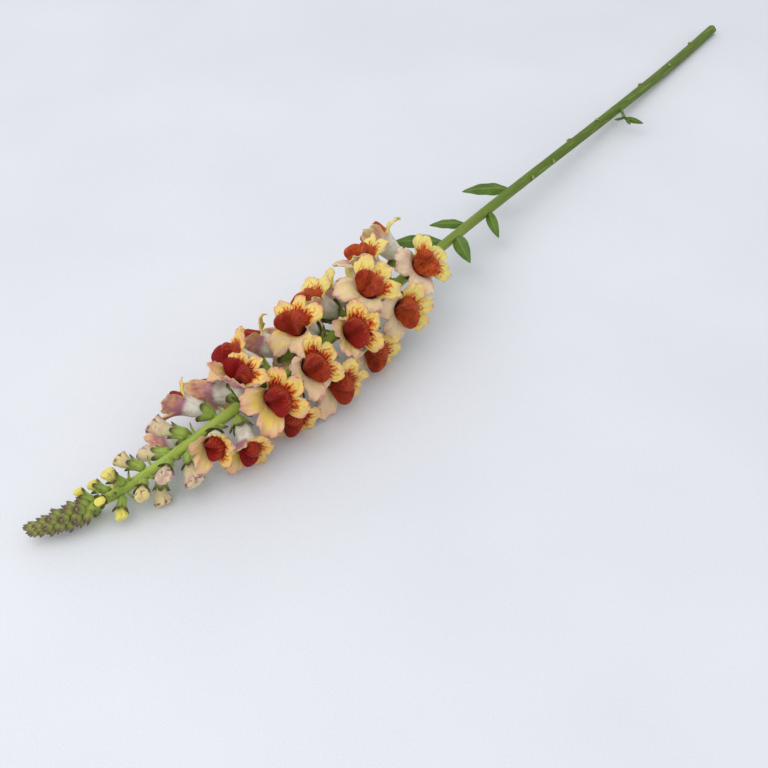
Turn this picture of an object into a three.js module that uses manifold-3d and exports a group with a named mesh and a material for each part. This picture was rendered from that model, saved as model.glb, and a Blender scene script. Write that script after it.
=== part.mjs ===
// Snapdragon stem (Antirrhinum majus): one cut stem that lies on a surface, its spike of florets to -X
// and its cut end to +X. Millimetres, +Z up. The green stem is one body, and every corolla, open or
// still closed, is a body of its own that sits in the cup of its calyx.
import * as THREE from 'three';
import { LoftGeometry } from 'three/addons/geometries/LoftGeometry.js';
import { mergeVertices } from 'three/addons/utils/BufferGeometryUtils.js';
import Module from 'manifold-3d';

const wasm = await Module();
wasm.setup();

// ---- Driving dimensions ----
const STEM_LENGTH = 720;            // from the tip of the spike to the cut end, along X
const STEM_START = 3;               // the stem itself starts here, within the first calyces
const STEM_BOW = 46;                // how far the stem bows sideways
const BOW_START = 75;               // the bow grows to its full size over about this length
const TIP_HEIGHT = 8;               // height of the stem's axis at the tip
const SPIKE_HEIGHT = 22;            // and where the open florets carry it
const CUT_RADIUS = 3.7;             // radius of the stem at the cut end
const STEM_SIDES = 7;               // the lowest side of the stem is flat
const REST_DEPTH = 0.06;            // how deep the cut end is pressed into what it lies on
const ORIGIN_X = 359;               // the origin is below the middle of the part: this far from the tip
const ORIGIN_Y = -29.8;             // and this far aside from the straight line of tip and cut end

const BUD_COUNT = 14;               // closed corollas
const BUD_START = 31.6;              // distance of the first one from the tip
const BUD_STEP = 2.5;               // and the steps between them, which grow
const BUD_GROWTH = 0.14;
const FLORET_COUNT = 24;            // open corollas
const FLORET_START = 91;
const FLORET_STEP = 7.9;
const SCALE_COUNT = 30;             // calyces of the dense cone at the tip, with no corolla to see yet
const SCALE_START = 3.5;            // the cone's first calyx, measured from the tip
const SCALE_END = 29;               // and its last one
const GOLDEN_ANGLE = 137.5;

const TUBE_LENGTH = 15;             // corolla of size 1: its tube
const TUBE_BASE = 2.3;              // radius at the base of the tube
const THROAT = new THREE.Vector3(12, 0, 4.4);
const LIP_THICKNESS = 0.8;
const CUP_CLEARANCE = 0.6;          // between a corolla and its calyx, at the corners of their facets
const CUP_WALL = 0.75;

const LEAF_PLACES = [307, 318, 333, 356, 388];   // distances of the leaves from the tip
const SHOOT_PLACES = [548];                      // and of the small side shoot
const SCAR_PLACES = [412, 441, 476, 513, 590, 634, 682];

// ---- Small helpers ----
const vec = (x, y, z) => new THREE.Vector3(x, y, z);
const radians = THREE.MathUtils.degToRad;
const smooth = (from, to, x) => THREE.MathUtils.smoothstep(x, from, to);
const { lerp, clamp } = THREE.MathUtils;

// A number from 0 to 1 that looks random but is always the same for the same count and use.
function scatter(count, use) {
  const wave = Math.sin(count * 12.9898 + use * 78.233) * 43758.5453;
  return wave - Math.floor(wave);
}

// An angle in degrees, brought to -180 .. 180.
const wrapped = (angle) => angle - 360 * Math.round(angle / 360);

// The solid of a closed geometry; a loft's first and last sections may be single points.
function solid(geometry) {
  const bare = new THREE.BufferGeometry().setIndex(geometry.index);
  bare.setAttribute('position', geometry.getAttribute('position'));
  const merged = mergeVertices(bare, 1e-4);
  const index = merged.index.array;
  const kept = [];
  for (let i = 0; i < index.length; i += 3) {
    const [a, b, c] = index.slice(i, i + 3);
    if (a !== b && b !== c && c !== a) kept.push(a, b, c);
  }
  return new wasm.Manifold(new wasm.Mesh({
    numProp: 3,
    vertProperties: new Float32Array(merged.attributes.position.array),
    triVerts: new Uint32Array(kept),
  }));
}

// Loft through sections; the quads from row `first` to row `last` are split along their other diagonal,
// so that the two faces of a thin petal are split alike.
function loft(sections, first = 0, last = 0) {
  const geometry = new LoftGeometry(sections);
  const columns = sections[0].length;
  const index = geometry.index.array;
  for (let row = first; row < last; row += 1) {
    for (let column = 0; column < columns; column += 1) {
      const at = (row * columns + column) * 6;
      const [a, b, d, , c] = index.slice(at, at + 6);
      index.set([a, b, c, a, c, d], at);
    }
  }
  return solid(geometry);
}

const joined = (solids) => solids.reduce((all, next) => all.add(next));

// What lies below the surface that the stem rests on.
const below = solid(new THREE.BoxGeometry(2 * STEM_LENGTH, STEM_LENGTH, 60).translate(0, 0, -30));

function meshOf(name, shape, material) {
  const { numProp, vertProperties, triVerts } = shape.getMesh();
  const geometry = new THREE.BufferGeometry();
  const points = new THREE.InterleavedBuffer(vertProperties, numProp);
  geometry.setAttribute('position', new THREE.InterleavedBufferAttribute(points, 3, 0));
  geometry.setIndex(new THREE.BufferAttribute(triVerts, 1));
  geometry.computeVertexNormals();
  const mesh = new THREE.Mesh(geometry, material);
  mesh.name = name;
  return mesh;
}

// ---- The stem's line ----
// Centre of the stem at a distance from the tip.
function axis(distance) {
  const bow = (1 - Math.exp(-distance / BOW_START)) * (1 - distance / STEM_LENGTH);
  const cut = CUT_RADIUS * Math.cos(Math.PI / STEM_SIDES) - REST_DEPTH;
  const lifted = lerp(SPIKE_HEIGHT, cut, smooth(250, 690, distance));
  const height = lifted - (SPIKE_HEIGHT - TIP_HEIGHT) * (1 - smooth(0, 120, distance));
  return vec(distance - ORIGIN_X, -STEM_BOW * bow - ORIGIN_Y, height);
}

function stemRadius(distance) {
  return 1.4 + 1.3 * smooth(0, 45, distance) + 0.4 * smooth(45, 140, distance)
    + (CUT_RADIUS - 3.1) * smooth(200, 700, distance);
}

// Directions at a distance: towards the tip, and outwards at an angle from the upper side of the stem.
function towardsTip(distance) {
  return axis(distance - 1).sub(axis(distance + 1)).normalize();
}

function outwards(distance, angle) {
  const tip = towardsTip(distance);
  const side = vec(0, 0, 1).cross(tip).normalize();
  const up = tip.clone().cross(side).normalize();
  return up.multiplyScalar(Math.cos(radians(angle))).addScaledVector(side, -Math.sin(radians(angle)));
}

// ---- Corollas ----
// In its own frame a corolla's tube runs along +X, its upper lip is at +Z and angles go round from there.
const COLUMNS = [0, -18, -40, -62, -82, -104, -126, -152, 180, 152, 126, 104, 82, 62, 40, 18];

// A lobe's reach at an angle: a rounded bump of a given half width about its centre.
function lobe(angle, centre, half, reach) {
  const t = Math.max(0, 1 - Math.abs((angle - centre) / half) ** 2.2);
  return reach * t ** (1 / 2.2);
}

// How far the lips reach beyond the mouth: two upper lobes, two side lobes and the middle one.
function lipReach(angle) {
  const a = Math.abs(angle);
  return Math.max(1.5, lobe(a, 38, 44, 13.8), lobe(a, 126, 31, 8.5), lobe(a, 180, 27, 8));
}

const lowerShare = (angle) => smooth(70, 125, Math.abs(angle));

function tubeRadii(angle) {
  const low = lowerShare(angle);
  return [6 + 1.6 * low, 5.6 + 0.9 * low];
}

function mouth(angle) {
  const [wide, high] = tubeRadii(angle);
  const a = radians(angle);
  return vec(TUBE_LENGTH + 2.6 * lowerShare(angle), wide * Math.sin(a), high * Math.cos(a));
}

// Outside of the tube, from its base (share 0) to its mouth (share 1), with a pouch below its base.
function tube(angle, share) {
  const end = mouth(angle);
  const [wide, high] = tubeRadii(angle);
  const a = radians(angle);
  const grown = share ** 0.8;
  const pouch = 1.1 * smooth(60, 150, Math.abs(angle)) * Math.sin(Math.PI * Math.min(1, share * 1.4));
  return vec(
    end.x * share,
    lerp(TUBE_BASE, wide, grown) * Math.sin(a),
    (lerp(TUBE_BASE, high, grown) + pouch) * Math.cos(a),
  );
}

// A lip leaves the mouth at an angle to the tube and curls back along an arc: the lower one by how far
// the corolla is open, the upper one by how far it is raised.
// Gives its outer face at a reach beyond the mouth, moved inwards by a depth.
function lip(angle, reach, { open, raised }, depth) {
  const low = smooth(78, 102, Math.abs(angle));
  const start = radians(lerp(4 + 24 * raised, 6 + 54 * open, low));
  const curl = radians(lerp(-3 + 8.5 * raised, -4 + 11 * open, low));
  const turned = start + curl * reach;
  const forward = (Math.sin(turned) - Math.sin(start)) / curl;
  const outward = (Math.cos(start) - Math.cos(turned)) / curl;
  const spread = radians(angle) * lerp(0.86, 1, low);
  const ray = vec(0, Math.sin(spread), Math.cos(spread));
  const ahead = forward + depth * Math.sin(turned);
  return mouth(angle).add(vec(ahead, 0, 0)).addScaledVector(ray, outward - depth * Math.cos(turned));
}

// The inside from the mouth (share 0) to the throat (share 1): the lower side swells into the palate,
// two humps that rise to the upper lip and close the mouth.
function palate(angle, share, place) {
  const rim = lip(angle, 0, place, LIP_THICKNESS);
  const swell = smooth(68, 106, Math.abs(angle));
  const point = rim.clone().lerp(THROAT, share);
  const arch = Math.sin(Math.PI * share ** 0.8);
  const wide = place.open ** 2 * swell;
  point.y = rim.y * (1 - share ** (1 + 1.6 * wide)) * (1 + 0.12 * wide * arch);
  const middle = Math.exp(-((point.y / 1.8) ** 2)) * smooth(110, 150, Math.abs(angle));
  const furrow = 1 - 0.3 * middle * (1 - smooth(0.75, 1, share));
  const height = 9.5 * (0.55 + 0.45 * place.open) * Math.sin(Math.PI * share ** 0.56) ** 0.6;
  point.x += swell * height * furrow;
  point.z += swell * 2.6 * arch * furrow;
  return point;
}

// The point of a closed bud's corolla: a tube that widens to a blunt end, which is higher than wide,
// reaches further ahead on its upper side and is sunk a little in the middle.
function budPoint(angle, share, bud) {
  const a = radians(angle);
  const swollen = 0.46 + 0.54 * smooth(0.15, 0.85, share);
  const closing = Math.max(0, 1 - Math.max(0, (share - 0.8) / 0.2) ** 3) ** (1 / 3);
  const radius = bud.radius * swollen * closing;
  const end = smooth(0.5, 1, share);
  const hood = 0.13 * bud.reach * Math.cos(a) * end * closing;
  return vec(
    bud.reach * (share - 0.14 * (1 - closing)) + hood,
    0.85 * radius * Math.sin(a),
    1.08 * radius * Math.cos(a) - 0.09 * bud.reach * end,
  );
}

// ---- Where the corollas stand ----
// Each place holds the corolla's distance from the tip, its foot, its turn and its size. The youngest
// buds stand all round the stem, the older ones leave its upper side bare, and the florets close it again.
function places() {
  const made = [];
  for (let i = 0; i < BUD_COUNT + FLORET_COUNT; i += 1) {
    const k = i - BUD_COUNT;
    const isBud = k < 0;
    const distance = isBud ? BUD_START + (BUD_STEP + BUD_GROWTH * i) * i : FLORET_START + FLORET_STEP * k;
    const round = wrapped(GOLDEN_ANGLE * i + 40);
    const bare = lerp(5, 50, smooth(48, 70, distance));
    const least = lerp(bare, 14, smooth(100, 150, distance));
    const most = lerp(150, 122, smooth(50, 120, distance));
    const angle = Math.sign(round) * lerp(least, most, Math.abs(round) / 180);
    const lean = isBud ? 48 + 14 * scatter(i, 1) : 62 + 12 * scatter(i, 1);
    const grown = clamp(i / (BUD_COUNT - 1), 0, 1);
    const out = outwards(distance, angle);
    const tip = towardsTip(distance);
    const ahead = out.clone().multiplyScalar(Math.sin(radians(lean)));
    ahead.addScaledVector(tip, Math.cos(radians(lean)));
    const top = out.clone().multiplyScalar(-Math.cos(radians(lean)));
    top.addScaledVector(tip, Math.sin(radians(lean)));
    const side = top.clone().cross(ahead);
    const stalk = lerp(2.2, 4.2, grown);
    const foot = axis(distance).addScaledVector(out, stemRadius(distance) * 0.9 + 0.8 * stalk);
    foot.addScaledVector(tip, 0.6 * stalk);
    const openSize = lerp(0.86, 1.14, smooth(0, 7, k)) + 0.06 * (scatter(i, 2) - 0.5);
    made.push({
      distance,
      out,
      foot,
      isBud,
      turn: new THREE.Quaternion().setFromRotationMatrix(new THREE.Matrix4().makeBasis(ahead, side, top)),
      size: isBud ? lerp(0.82, 0.98, grown) : openSize,
      open: lerp(0.42, 0.95, smooth(-1, 5, k)) + 0.1 * (scatter(i, 3) - 0.5),
      raised: lerp(0.45, 0.75, smooth(-1, 6, k)) + 0.5 * (scatter(i, 10) - 0.5),
      reach: lerp(7.4, 18, grown ** 1.4),
      radius: lerp(2, 4.7, grown),
    });
  }
  return made;
}

// Balls that stand for a corolla while neighbours push each other apart: centre and radius.
function balls(place) {
  if (place.isBud) {
    const { reach, radius } = place;
    return [[vec(0.72 * reach, 0, 0), radius * 1.1], [vec(0.3 * reach, 0, 0), radius * 0.9]];
  }
  const lobes = [[40, 0.62, 5.4], [-40, 0.62, 5.4], [126, 0.6, 4.2], [-126, 0.6, 4.2], [180, 0.6, 4]];
  const made = lobes.map(([angle, share, radius]) => [
    lip(angle, lipReach(angle) * share, place, LIP_THICKNESS / 2).multiplyScalar(place.size),
    radius * place.size,
  ]);
  made.push([vec(16.5, 0, -0.5).multiplyScalar(place.size), 7.6 * place.size]);
  made.push([vec(6, 0, 0).multiplyScalar(place.size), 4.6 * place.size]);
  return made;
}

// Florets crowd each other on the spike. In each round every ball that presses on another corolla's
// ball, on the stem or on the surface below turns its corolla a little about its foot.
function settle(all) {
  const ROUNDS = 160;
  const SOFTNESS = 0.35;
  const PETAL_SINK = 1.8;
  const shapes = all.map(balls);
  for (let round = 0; round < ROUNDS; round += 1) {
    const placed = all.map((place, i) => shapes[i].map(([centre, radius]) => ({
      arm: centre.clone().applyQuaternion(place.turn),
      radius,
    })));
    const turns = all.map(() => vec(0, 0, 0));
    const push = (i, ball, by) => {
      turns[i].addScaledVector(ball.arm.clone().cross(by), 1 / ball.arm.lengthSq());
    };
    for (let i = 0; i < all.length; i += 1) {
      for (const ball of placed[i]) {
        const point = ball.arm.clone().add(all[i].foot);
        const sunk = ball.radius - PETAL_SINK - point.z;
        if (sunk > 0) push(i, ball, vec(0, 0, sunk));
        const line = axis(clamp(point.x + ORIGIN_X, 0, STEM_LENGTH));
        const away = point.clone().sub(line);
        const near = ball.radius + stemRadius(all[i].distance) - away.length();
        if (near > 0) push(i, ball, away.setLength(near * 0.5));
        for (let j = 0; j < all.length; j += 1) {
          if (j === i) continue;
          for (const other of placed[j]) {
            const apart = point.clone().sub(other.arm).sub(all[j].foot);
            const overlap = ball.radius + other.radius - apart.length();
            if (overlap > 0) push(i, ball, apart.setLength(overlap * 0.5));
          }
        }
      }
    }
    all.forEach((place, i) => {
      const angle = turns[i].length() * SOFTNESS;
      if (angle > 1e-9) {
        place.turn.premultiply(new THREE.Quaternion().setFromAxisAngle(turns[i].normalize(), angle));
      }
    });
  }
  return all;
}

const inPlace = ({ turn, foot }, size) => (point) => point.multiplyScalar(size).applyQuaternion(turn).add(foot);

function floretSolid(place) {
  const rows = [
    () => vec(0, 0, 0),
    (angle) => tube(angle, 0.06),
    (angle) => tube(angle, 0.5),
    (angle) => tube(angle, 1),
    (angle) => lip(angle, lipReach(angle) * 0.55, place, 0),
    (angle) => lip(angle, lipReach(angle), place, LIP_THICKNESS / 2),
    (angle) => lip(angle, lipReach(angle) * 0.55, place, LIP_THICKNESS),
    (angle) => palate(angle, 0, place),
    (angle) => palate(angle, 0.2, place),
    (angle) => palate(angle, 0.52, place),
    () => THROAT.clone(),
  ];
  const put = inPlace(place, place.size);
  return loft(rows.map((row) => COLUMNS.map((angle) => put(row(angle)))), 3, 5).subtract(below);
}

function budSolid(place) {
  const angles = [0, -45, -90, -135, 180, 135, 90, 45];
  const put = inPlace(place, 1);
  const shares = [0, 0.04, 0.5, 0.86, 0.97, 1];
  const rows = shares.map((share) => angles.map((angle) => {
    if (share === 0) return put(vec(0, 0, 0));
    return put(budPoint(share === 1 ? 0 : angle, share, place));
  }));
  return loft(rows).subtract(below);
}

// ---- Green parts ----
// Largest radius of a corolla at a distance along its own tube.
function corollaRadius(place, along) {
  if (place.isBud) {
    return place.radius * (0.5 + 0.58 * smooth(0.15, 0.85, along / place.reach));
  }
  const share = clamp(along / (place.size * (TUBE_LENGTH + 2.6)), 0.01, 1);
  return place.size * Math.max(Math.abs(tube(90, share).y), Math.abs(tube(180, share).z));
}

// A stalk from the stem to a corolla's foot, and the calyx: a cup that parts into five pointed sepals.
function stalkAndCalyx(place) {
  const size = place.isBud ? place.size : place.size * 0.92;
  const start = axis(place.distance);
  const ahead = vec(1, 0, 0).applyQuaternion(place.turn);
  const put = inPlace(place, 1);
  const cup = (along, wall) => corollaRadius(place, Math.max(0, along)) + CUP_CLEARANCE + wall;
  const columns = Array.from({ length: 10 }, (_, i) => ({ angle: -36 * i, isTip: i % 2 === 0 }));
  const ring = (alongOf, radiusOf) => columns.map(({ angle, isTip }) => {
    const along = alongOf(isTip);
    const radius = radiusOf(along, isTip);
    return put(vec(along, radius * Math.sin(radians(angle)), radius * Math.cos(radians(angle))));
  });
  const middle = start.clone().lerp(place.foot, 0.54).addScaledVector(ahead, -0.4);
  const waist = columns.map(({ angle }) => {
    const ray = vec(0, Math.sin(radians(angle)), Math.cos(radians(angle))).applyQuaternion(place.turn);
    return middle.clone().addScaledVector(ray, 1.15 * size);
  });
  const point = (at) => columns.map(() => at.clone());
  return loft([
    point(start),
    waist,
    ring(() => -2.5 * size, () => 1.6 * size),
    ring(() => -0.6 * size, (along) => cup(along, CUP_WALL)),
    ring((isTip) => (isTip ? 7.6 : 3.2) * size, (along, isTip) => cup(along, isTip ? 0.6 : 0.4)),
    ring(() => -0.35, () => cup(0, 0)),
    point(put(vec(-0.4, 0, 0))),
  ], 4, 5);
}

// A leaf or bract: a narrow blade from a foot, along a first direction, that arches over to a second.
function blade({ foot, ahead, droop, length, width, thickness, steps, folds }) {
  const path = new THREE.QuadraticBezierCurve3(
    foot.clone(),
    foot.clone().addScaledVector(ahead, length * 0.5),
    foot.clone().addScaledVector(ahead, length * 0.62).addScaledVector(droop, length * 0.38),
  );
  const rows = [];
  for (let i = 0; i <= steps; i += 1) {
    const t = i / steps;
    const at = path.getPoint(t);
    const along = path.getTangent(t);
    const side = along.clone().cross(droop).normalize();
    const up = side.clone().cross(along).normalize();
    const half = i === 0 || i === steps ? 0 : width * 0.5 * Math.sin(Math.PI * t ** 0.8) ** 0.8;
    const deep = i === 0 || i === steps ? 0 : thickness * 0.5;
    const raised = folds * half;
    rows.push([
      at.clone().addScaledVector(side, half).addScaledVector(up, raised),
      at.clone().addScaledVector(up, -deep),
      at.clone().addScaledVector(side, -half).addScaledVector(up, raised),
      at.clone().addScaledVector(up, deep),
    ]);
  }
  return loft(rows);
}

function bract(distance, angle, size) {
  const out = outwards(distance, angle);
  const tip = towardsTip(distance);
  return blade({
    foot: axis(distance).addScaledVector(out, stemRadius(distance) * 0.4),
    ahead: out.clone().addScaledVector(tip, 0.15).normalize(),
    droop: tip.clone().multiplyScalar(-0.8).addScaledVector(out, 0.6).normalize(),
    length: stemRadius(distance) + 6.5 * size,
    width: 3.4 * size,
    thickness: 0.9,
    steps: 3,
    folds: 0.1,
  });
}

// The bract under a corolla's stalk stands on the side of the stem that the stalk leaves from.
function bractUnder(place) {
  const distance = place.distance + 2.5;
  const up = outwards(distance, 0);
  const side = outwards(distance, 90);
  const angle = THREE.MathUtils.radToDeg(Math.atan2(place.out.dot(side), place.out.dot(up)));
  return bract(distance, angle, place.isBud ? place.size : 1);
}

// One calyx of the tip cone, with no corolla to see: a small closed cup with five points.
function closedCalyx(index) {
  const share = (index + 0.5) / SCALE_COUNT;
  const distance = lerp(SCALE_START, SCALE_END, share ** 1.1);
  const size = lerp(0.95, 1.25, smooth(0, 0.6, share));
  const lean = lerp(26, 54, smooth(0, 0.9, share));
  const out = outwards(distance, wrapped(GOLDEN_ANGLE * index));
  const tip = towardsTip(distance);
  const ahead = out.clone().multiplyScalar(Math.sin(radians(lean)));
  ahead.addScaledVector(tip, Math.cos(radians(lean)));
  const top = out.clone().multiplyScalar(-Math.cos(radians(lean)));
  top.addScaledVector(tip, Math.sin(radians(lean)));
  const side = top.clone().cross(ahead);
  const foot = axis(distance).addScaledVector(out, stemRadius(distance) * 0.3);
  const put = (along, across, high) => foot.clone().addScaledVector(ahead, along)
    .addScaledVector(side, across).addScaledVector(top, high);
  const columns = [0, 1, 2, 3, 4, 5].map((i) => ({ angle: radians(-60 * i + 180), isTip: i % 2 === 0 }));
  const ring = (along, radius) => columns.map(({ angle, isTip }) => {
    const r = radius(isTip) * size;
    return put(along(isTip) * size, r * Math.sin(angle), 0.8 * r * Math.cos(angle));
  });
  return loft([
    columns.map(() => foot.clone()),
    ring(() => 2.6, () => 1.9),
    ring((isTip) => (isTip ? 6.4 : 4.4), (isTip) => (isTip ? 2.1 : 1.7)),
    columns.map(() => put(4.9 * size, 0, 0)),
  ]);
}

function stemSolid() {
  const stations = [];
  for (let distance = STEM_START; distance < STEM_LENGTH; distance += distance < 280 ? 11 : 26) {
    stations.push(distance);
  }
  stations.push(STEM_LENGTH);
  const rows = stations.map((distance) => Array.from({ length: STEM_SIDES }, (_, i) => {
    const out = outwards(distance, -360 * i / STEM_SIDES);
    return axis(distance).addScaledVector(out, stemRadius(distance));
  }));
  const end = (distance) => Array.from({ length: STEM_SIDES }, () => axis(distance));
  return loft([end(stations[0]), ...rows, end(STEM_LENGTH)]);
}

function leaves() {
  return LEAF_PLACES.map((distance, i) => {
    const angle = (i % 2 ? -1 : 1) * (58 + 40 * scatter(i, 5));
    const out = outwards(distance, angle);
    const tip = towardsTip(distance);
    const size = lerp(0.75, 1.1, scatter(i, 6));
    return blade({
      foot: axis(distance).addScaledVector(out, stemRadius(distance) * 0.3),
      ahead: tip.clone().multiplyScalar(0.75).addScaledVector(out, 0.66).normalize(),
      droop: out.clone().multiplyScalar(0.6).add(vec(0, 0, -0.55)).addScaledVector(tip, 0.3).normalize(),
      length: 34 * size,
      width: 9 * size,
      thickness: 0.9,
      steps: 7,
      folds: 0.16,
    });
  });
}

// A side shoot: a thin stalk with a few small leaves at its end.
function shoots() {
  return SHOOT_PLACES.flatMap((distance, i) => {
    const out = outwards(distance, i % 2 ? 75 : -80);
    const tip = towardsTip(distance);
    const ahead = tip.clone().multiplyScalar(0.82).addScaledVector(out, 0.57).normalize();
    const foot = axis(distance);
    const end = foot.clone().addScaledVector(ahead, 24);
    const side = ahead.clone().cross(vec(0, 0, 1)).normalize();
    const up = side.clone().cross(ahead).normalize();
    const ringAt = (centre, radius) => [0, 1, 2, 3, 4].map((n) => {
      const ray = up.clone().applyAxisAngle(ahead, radians(72 * n));
      return centre.clone().addScaledVector(ray, radius);
    });
    const stalk = loft([ringAt(foot, 0), ringAt(foot, 1.2), ringAt(end, 0.9), ringAt(end, 0)]);
    const turned = (angle) => ahead.clone().applyAxisAngle(up, radians(angle));
    const tuft = [-46, 8, 50].map((turn, n) => blade({
      foot: end.clone().addScaledVector(ahead, -1),
      ahead: turned(turn),
      droop: turned(turn * 1.5).addScaledVector(up, 0.3 - 0.3 * n).normalize(),
      length: 11 + 2 * n,
      width: 4,
      thickness: 0.9,
      steps: 4,
      folds: 0.15,
    }));
    return [stalk, ...tuft];
  });
}

// Where a leaf was stripped off, a short stub is left.
function scars() {
  return SCAR_PLACES.map((distance, i) => {
    const out = outwards(distance, 180 * scatter(i, 7) - 90);
    const tip = towardsTip(distance);
    return blade({
      foot: axis(distance).addScaledVector(out, stemRadius(distance) * 0.5),
      ahead: out.clone().addScaledVector(tip, 0.7).normalize(),
      droop: tip,
      length: 5.5,
      width: 3.4,
      thickness: 1.8,
      steps: 3,
      folds: 0,
    });
  });
}

function leafyStem(all) {
  const cone = Array.from({ length: SCALE_COUNT }, (_, i) => closedCalyx(i));
  const stalks = all.map(stalkAndCalyx);
  const bracts = all.map(bractUnder);
  return joined([stemSolid(), ...cone, ...stalks, ...bracts, ...leaves(), ...shoots(), ...scars()])
    .subtract(below);
}

// ---- The part ----
const green = new THREE.MeshStandardMaterial({ color: 0x7fa63a, roughness: 0.6, metalness: 0 });
const cream = new THREE.MeshStandardMaterial({ color: 0xd8d3a2, roughness: 0.6, metalness: 0 });
const apricot = new THREE.MeshStandardMaterial({ color: 0xd98a62, roughness: 0.65, metalness: 0 });

const part = new THREE.Group();
const all = settle(places());
part.add(meshOf('leafy_stem', leafyStem(all), green));
all.forEach((place, i) => {
  const number = String(place.isBud ? i + 1 : i + 1 - BUD_COUNT).padStart(2, '0');
  const name = place.isBud ? `bud_${number}` : `floret_${number}`;
  part.add(meshOf(name, place.isBud ? budSolid(place) : floretSolid(place), place.isBud ? cream : apricot));
});

export default part;
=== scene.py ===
# %% [markdown]
# # A cut snapdragon stem
# A snapdragon (Antirrhinum majus) that was cut for the vase and laid down on a pale table. Its leafy
# green stem carries a spike: a cone of shut calyces at the tip, then buds, then open florets. The plain
# solids of the frame give every place and size. This script grows a fine surface over each of them,
# with numpy, from the same formulas, so that solid and surface agree without any fitting by hand.

# %% The frame
import math

import bpy
import numpy as np
from mathutils import Matrix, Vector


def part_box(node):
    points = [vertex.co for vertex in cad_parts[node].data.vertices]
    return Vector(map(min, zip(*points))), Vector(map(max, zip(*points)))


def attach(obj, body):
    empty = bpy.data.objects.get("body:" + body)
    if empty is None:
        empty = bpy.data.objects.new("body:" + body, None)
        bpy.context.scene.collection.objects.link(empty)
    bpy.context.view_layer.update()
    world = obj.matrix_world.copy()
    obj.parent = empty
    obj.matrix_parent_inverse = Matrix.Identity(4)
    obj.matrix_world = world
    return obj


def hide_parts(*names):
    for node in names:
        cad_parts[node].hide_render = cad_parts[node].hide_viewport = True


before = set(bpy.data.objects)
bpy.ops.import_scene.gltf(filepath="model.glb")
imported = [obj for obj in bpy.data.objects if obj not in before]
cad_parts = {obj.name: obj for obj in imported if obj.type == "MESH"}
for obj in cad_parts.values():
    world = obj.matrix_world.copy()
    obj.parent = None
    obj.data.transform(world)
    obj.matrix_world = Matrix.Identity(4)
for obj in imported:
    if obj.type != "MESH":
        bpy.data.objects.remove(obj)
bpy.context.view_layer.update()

# %% [markdown]
# ## The stem's line
# Everything on the plant hangs on one curve, the middle of the stem: it bows to one side, and it runs
# lower towards the cut end, where the stem touches the table. A few sizes describe it well enough, so
# it is a formula and not a drawn curve. Lengths are millimetres until a piece is made, and are then
# turned into metres in one place.

# %% Dimensions and small helpers
STEM_LENGTH = 720
STEM_START = 3
STEM_BOW = 46
BOW_START = 75
TIP_HEIGHT = 8
SPIKE_HEIGHT = 22
CUT_RADIUS = 3.7
STEM_SIDES = 7
REST_DEPTH = 0.06
ORIGIN_X = 359
ORIGIN_Y = -29.8
GOLDEN_ANGLE = 137.5


def smooth(start, end, x):
    """0 up to start, 1 from end on, and 3 t^2 - 2 t^3 in between. It falls if start is the larger."""
    t = np.clip((x - start) / (end - start), 0, 1)
    return t * t * (3 - 2 * t)


def lerp(first, second, share):
    """The value that lies at a share of the way from first to second."""
    return first + (second - first) * share


def scatter(count, use):
    """A number from 0 to 1 that looks random: the fraction of a large sine. Each use has its own."""
    wave = np.sin(count * 12.9898 + use * 78.233) * 43758.5453
    return wave - np.floor(wave)


def unit(vectors):
    """The same directions with length 1."""
    return vectors / np.linalg.norm(vectors, axis=-1, keepdims=True)


def axis(distance):
    """Middle of the stem at a distance from its tip: straight along X, with a bow in Y and a height."""
    distance = np.asarray(distance, float)
    bow = (1 - np.exp(-distance / BOW_START)) * (1 - distance / STEM_LENGTH)
    cut_height = CUT_RADIUS * math.cos(math.pi / STEM_SIDES) - REST_DEPTH
    lifted = lerp(SPIKE_HEIGHT, cut_height, smooth(250, 690, distance))
    height = lifted - (SPIKE_HEIGHT - TIP_HEIGHT) * (1 - smooth(0, 120, distance))
    return np.stack([distance - ORIGIN_X, -STEM_BOW * bow - ORIGIN_Y, height], -1)


def stem_radius(distance):
    """Radius of the stem: it swells three times, from 1.4 at the tip to 3.7 at the cut."""
    return (1.4 + 1.3 * smooth(0, 45, distance) + 0.4 * smooth(45, 140, distance)
            + (CUT_RADIUS - 3.1) * smooth(200, 700, distance))


def towards_tip(distance):
    """Direction of the stem's line, from two points 2 mm apart on it."""
    return unit(axis(distance - 1) - axis(distance + 1))


def outwards(distance, angle):
    """Direction away from the stem at an angle in degrees, counted from its upper side."""
    tip = towards_tip(distance)
    side = unit(np.cross([0, 0, 1], tip))
    up = unit(np.cross(tip, side))
    turn = np.radians(angle)[..., None]
    return up * np.cos(turn) - side * np.sin(turn)


line = axis(np.linspace(0, STEM_LENGTH, 400))
steps = np.linalg.norm(np.diff(line, axis=0), axis=1)
print("the stem's line is", round(float(steps.sum()), 1), "mm long")

# %% [markdown]
# ## The shape of a floret
# A snapdragon's corolla is one petal tube that parts into two lips. The upper lip has two lobes, and
# the lower one three. Below the mouth the lower lip swells into the palate, two humps that shut the
# mouth until a bee pushes them down. A formula for each stretch gives its points from two parameters:
# the angle round the tube, and how far along that stretch. Laid one after the other the stretches make
# one closed skin: up the outside of the tube, out to the edge of the lips, back on their inner face,
# over the palate and down the throat.

# %% Tube and lips
TUBE_LENGTH = 15
LOWER_REACH = 2.6
TUBE_BASE = 2.3
THROAT = np.array([12, 0, 4.4])
LIP_THICKNESS = 0.8
PETAL_THICKNESS = 0.42
UPPER_LOBE = 38, 44, 13.8
SIDE_LOBE = 126, 31, 8.5
MIDDLE_LOBE = 180, 27, 8
LEAST_REACH = 1.5


def lobe(angle, centre, half, reach):
    """A rounded bump: reach times (1 - |t|^2.2)^(1/2.2), with t the offset over the half width."""
    t = np.clip(1 - np.abs((angle - centre) / half) ** 2.2, 0, 1)
    return reach * t ** (1 / 2.2)


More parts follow.
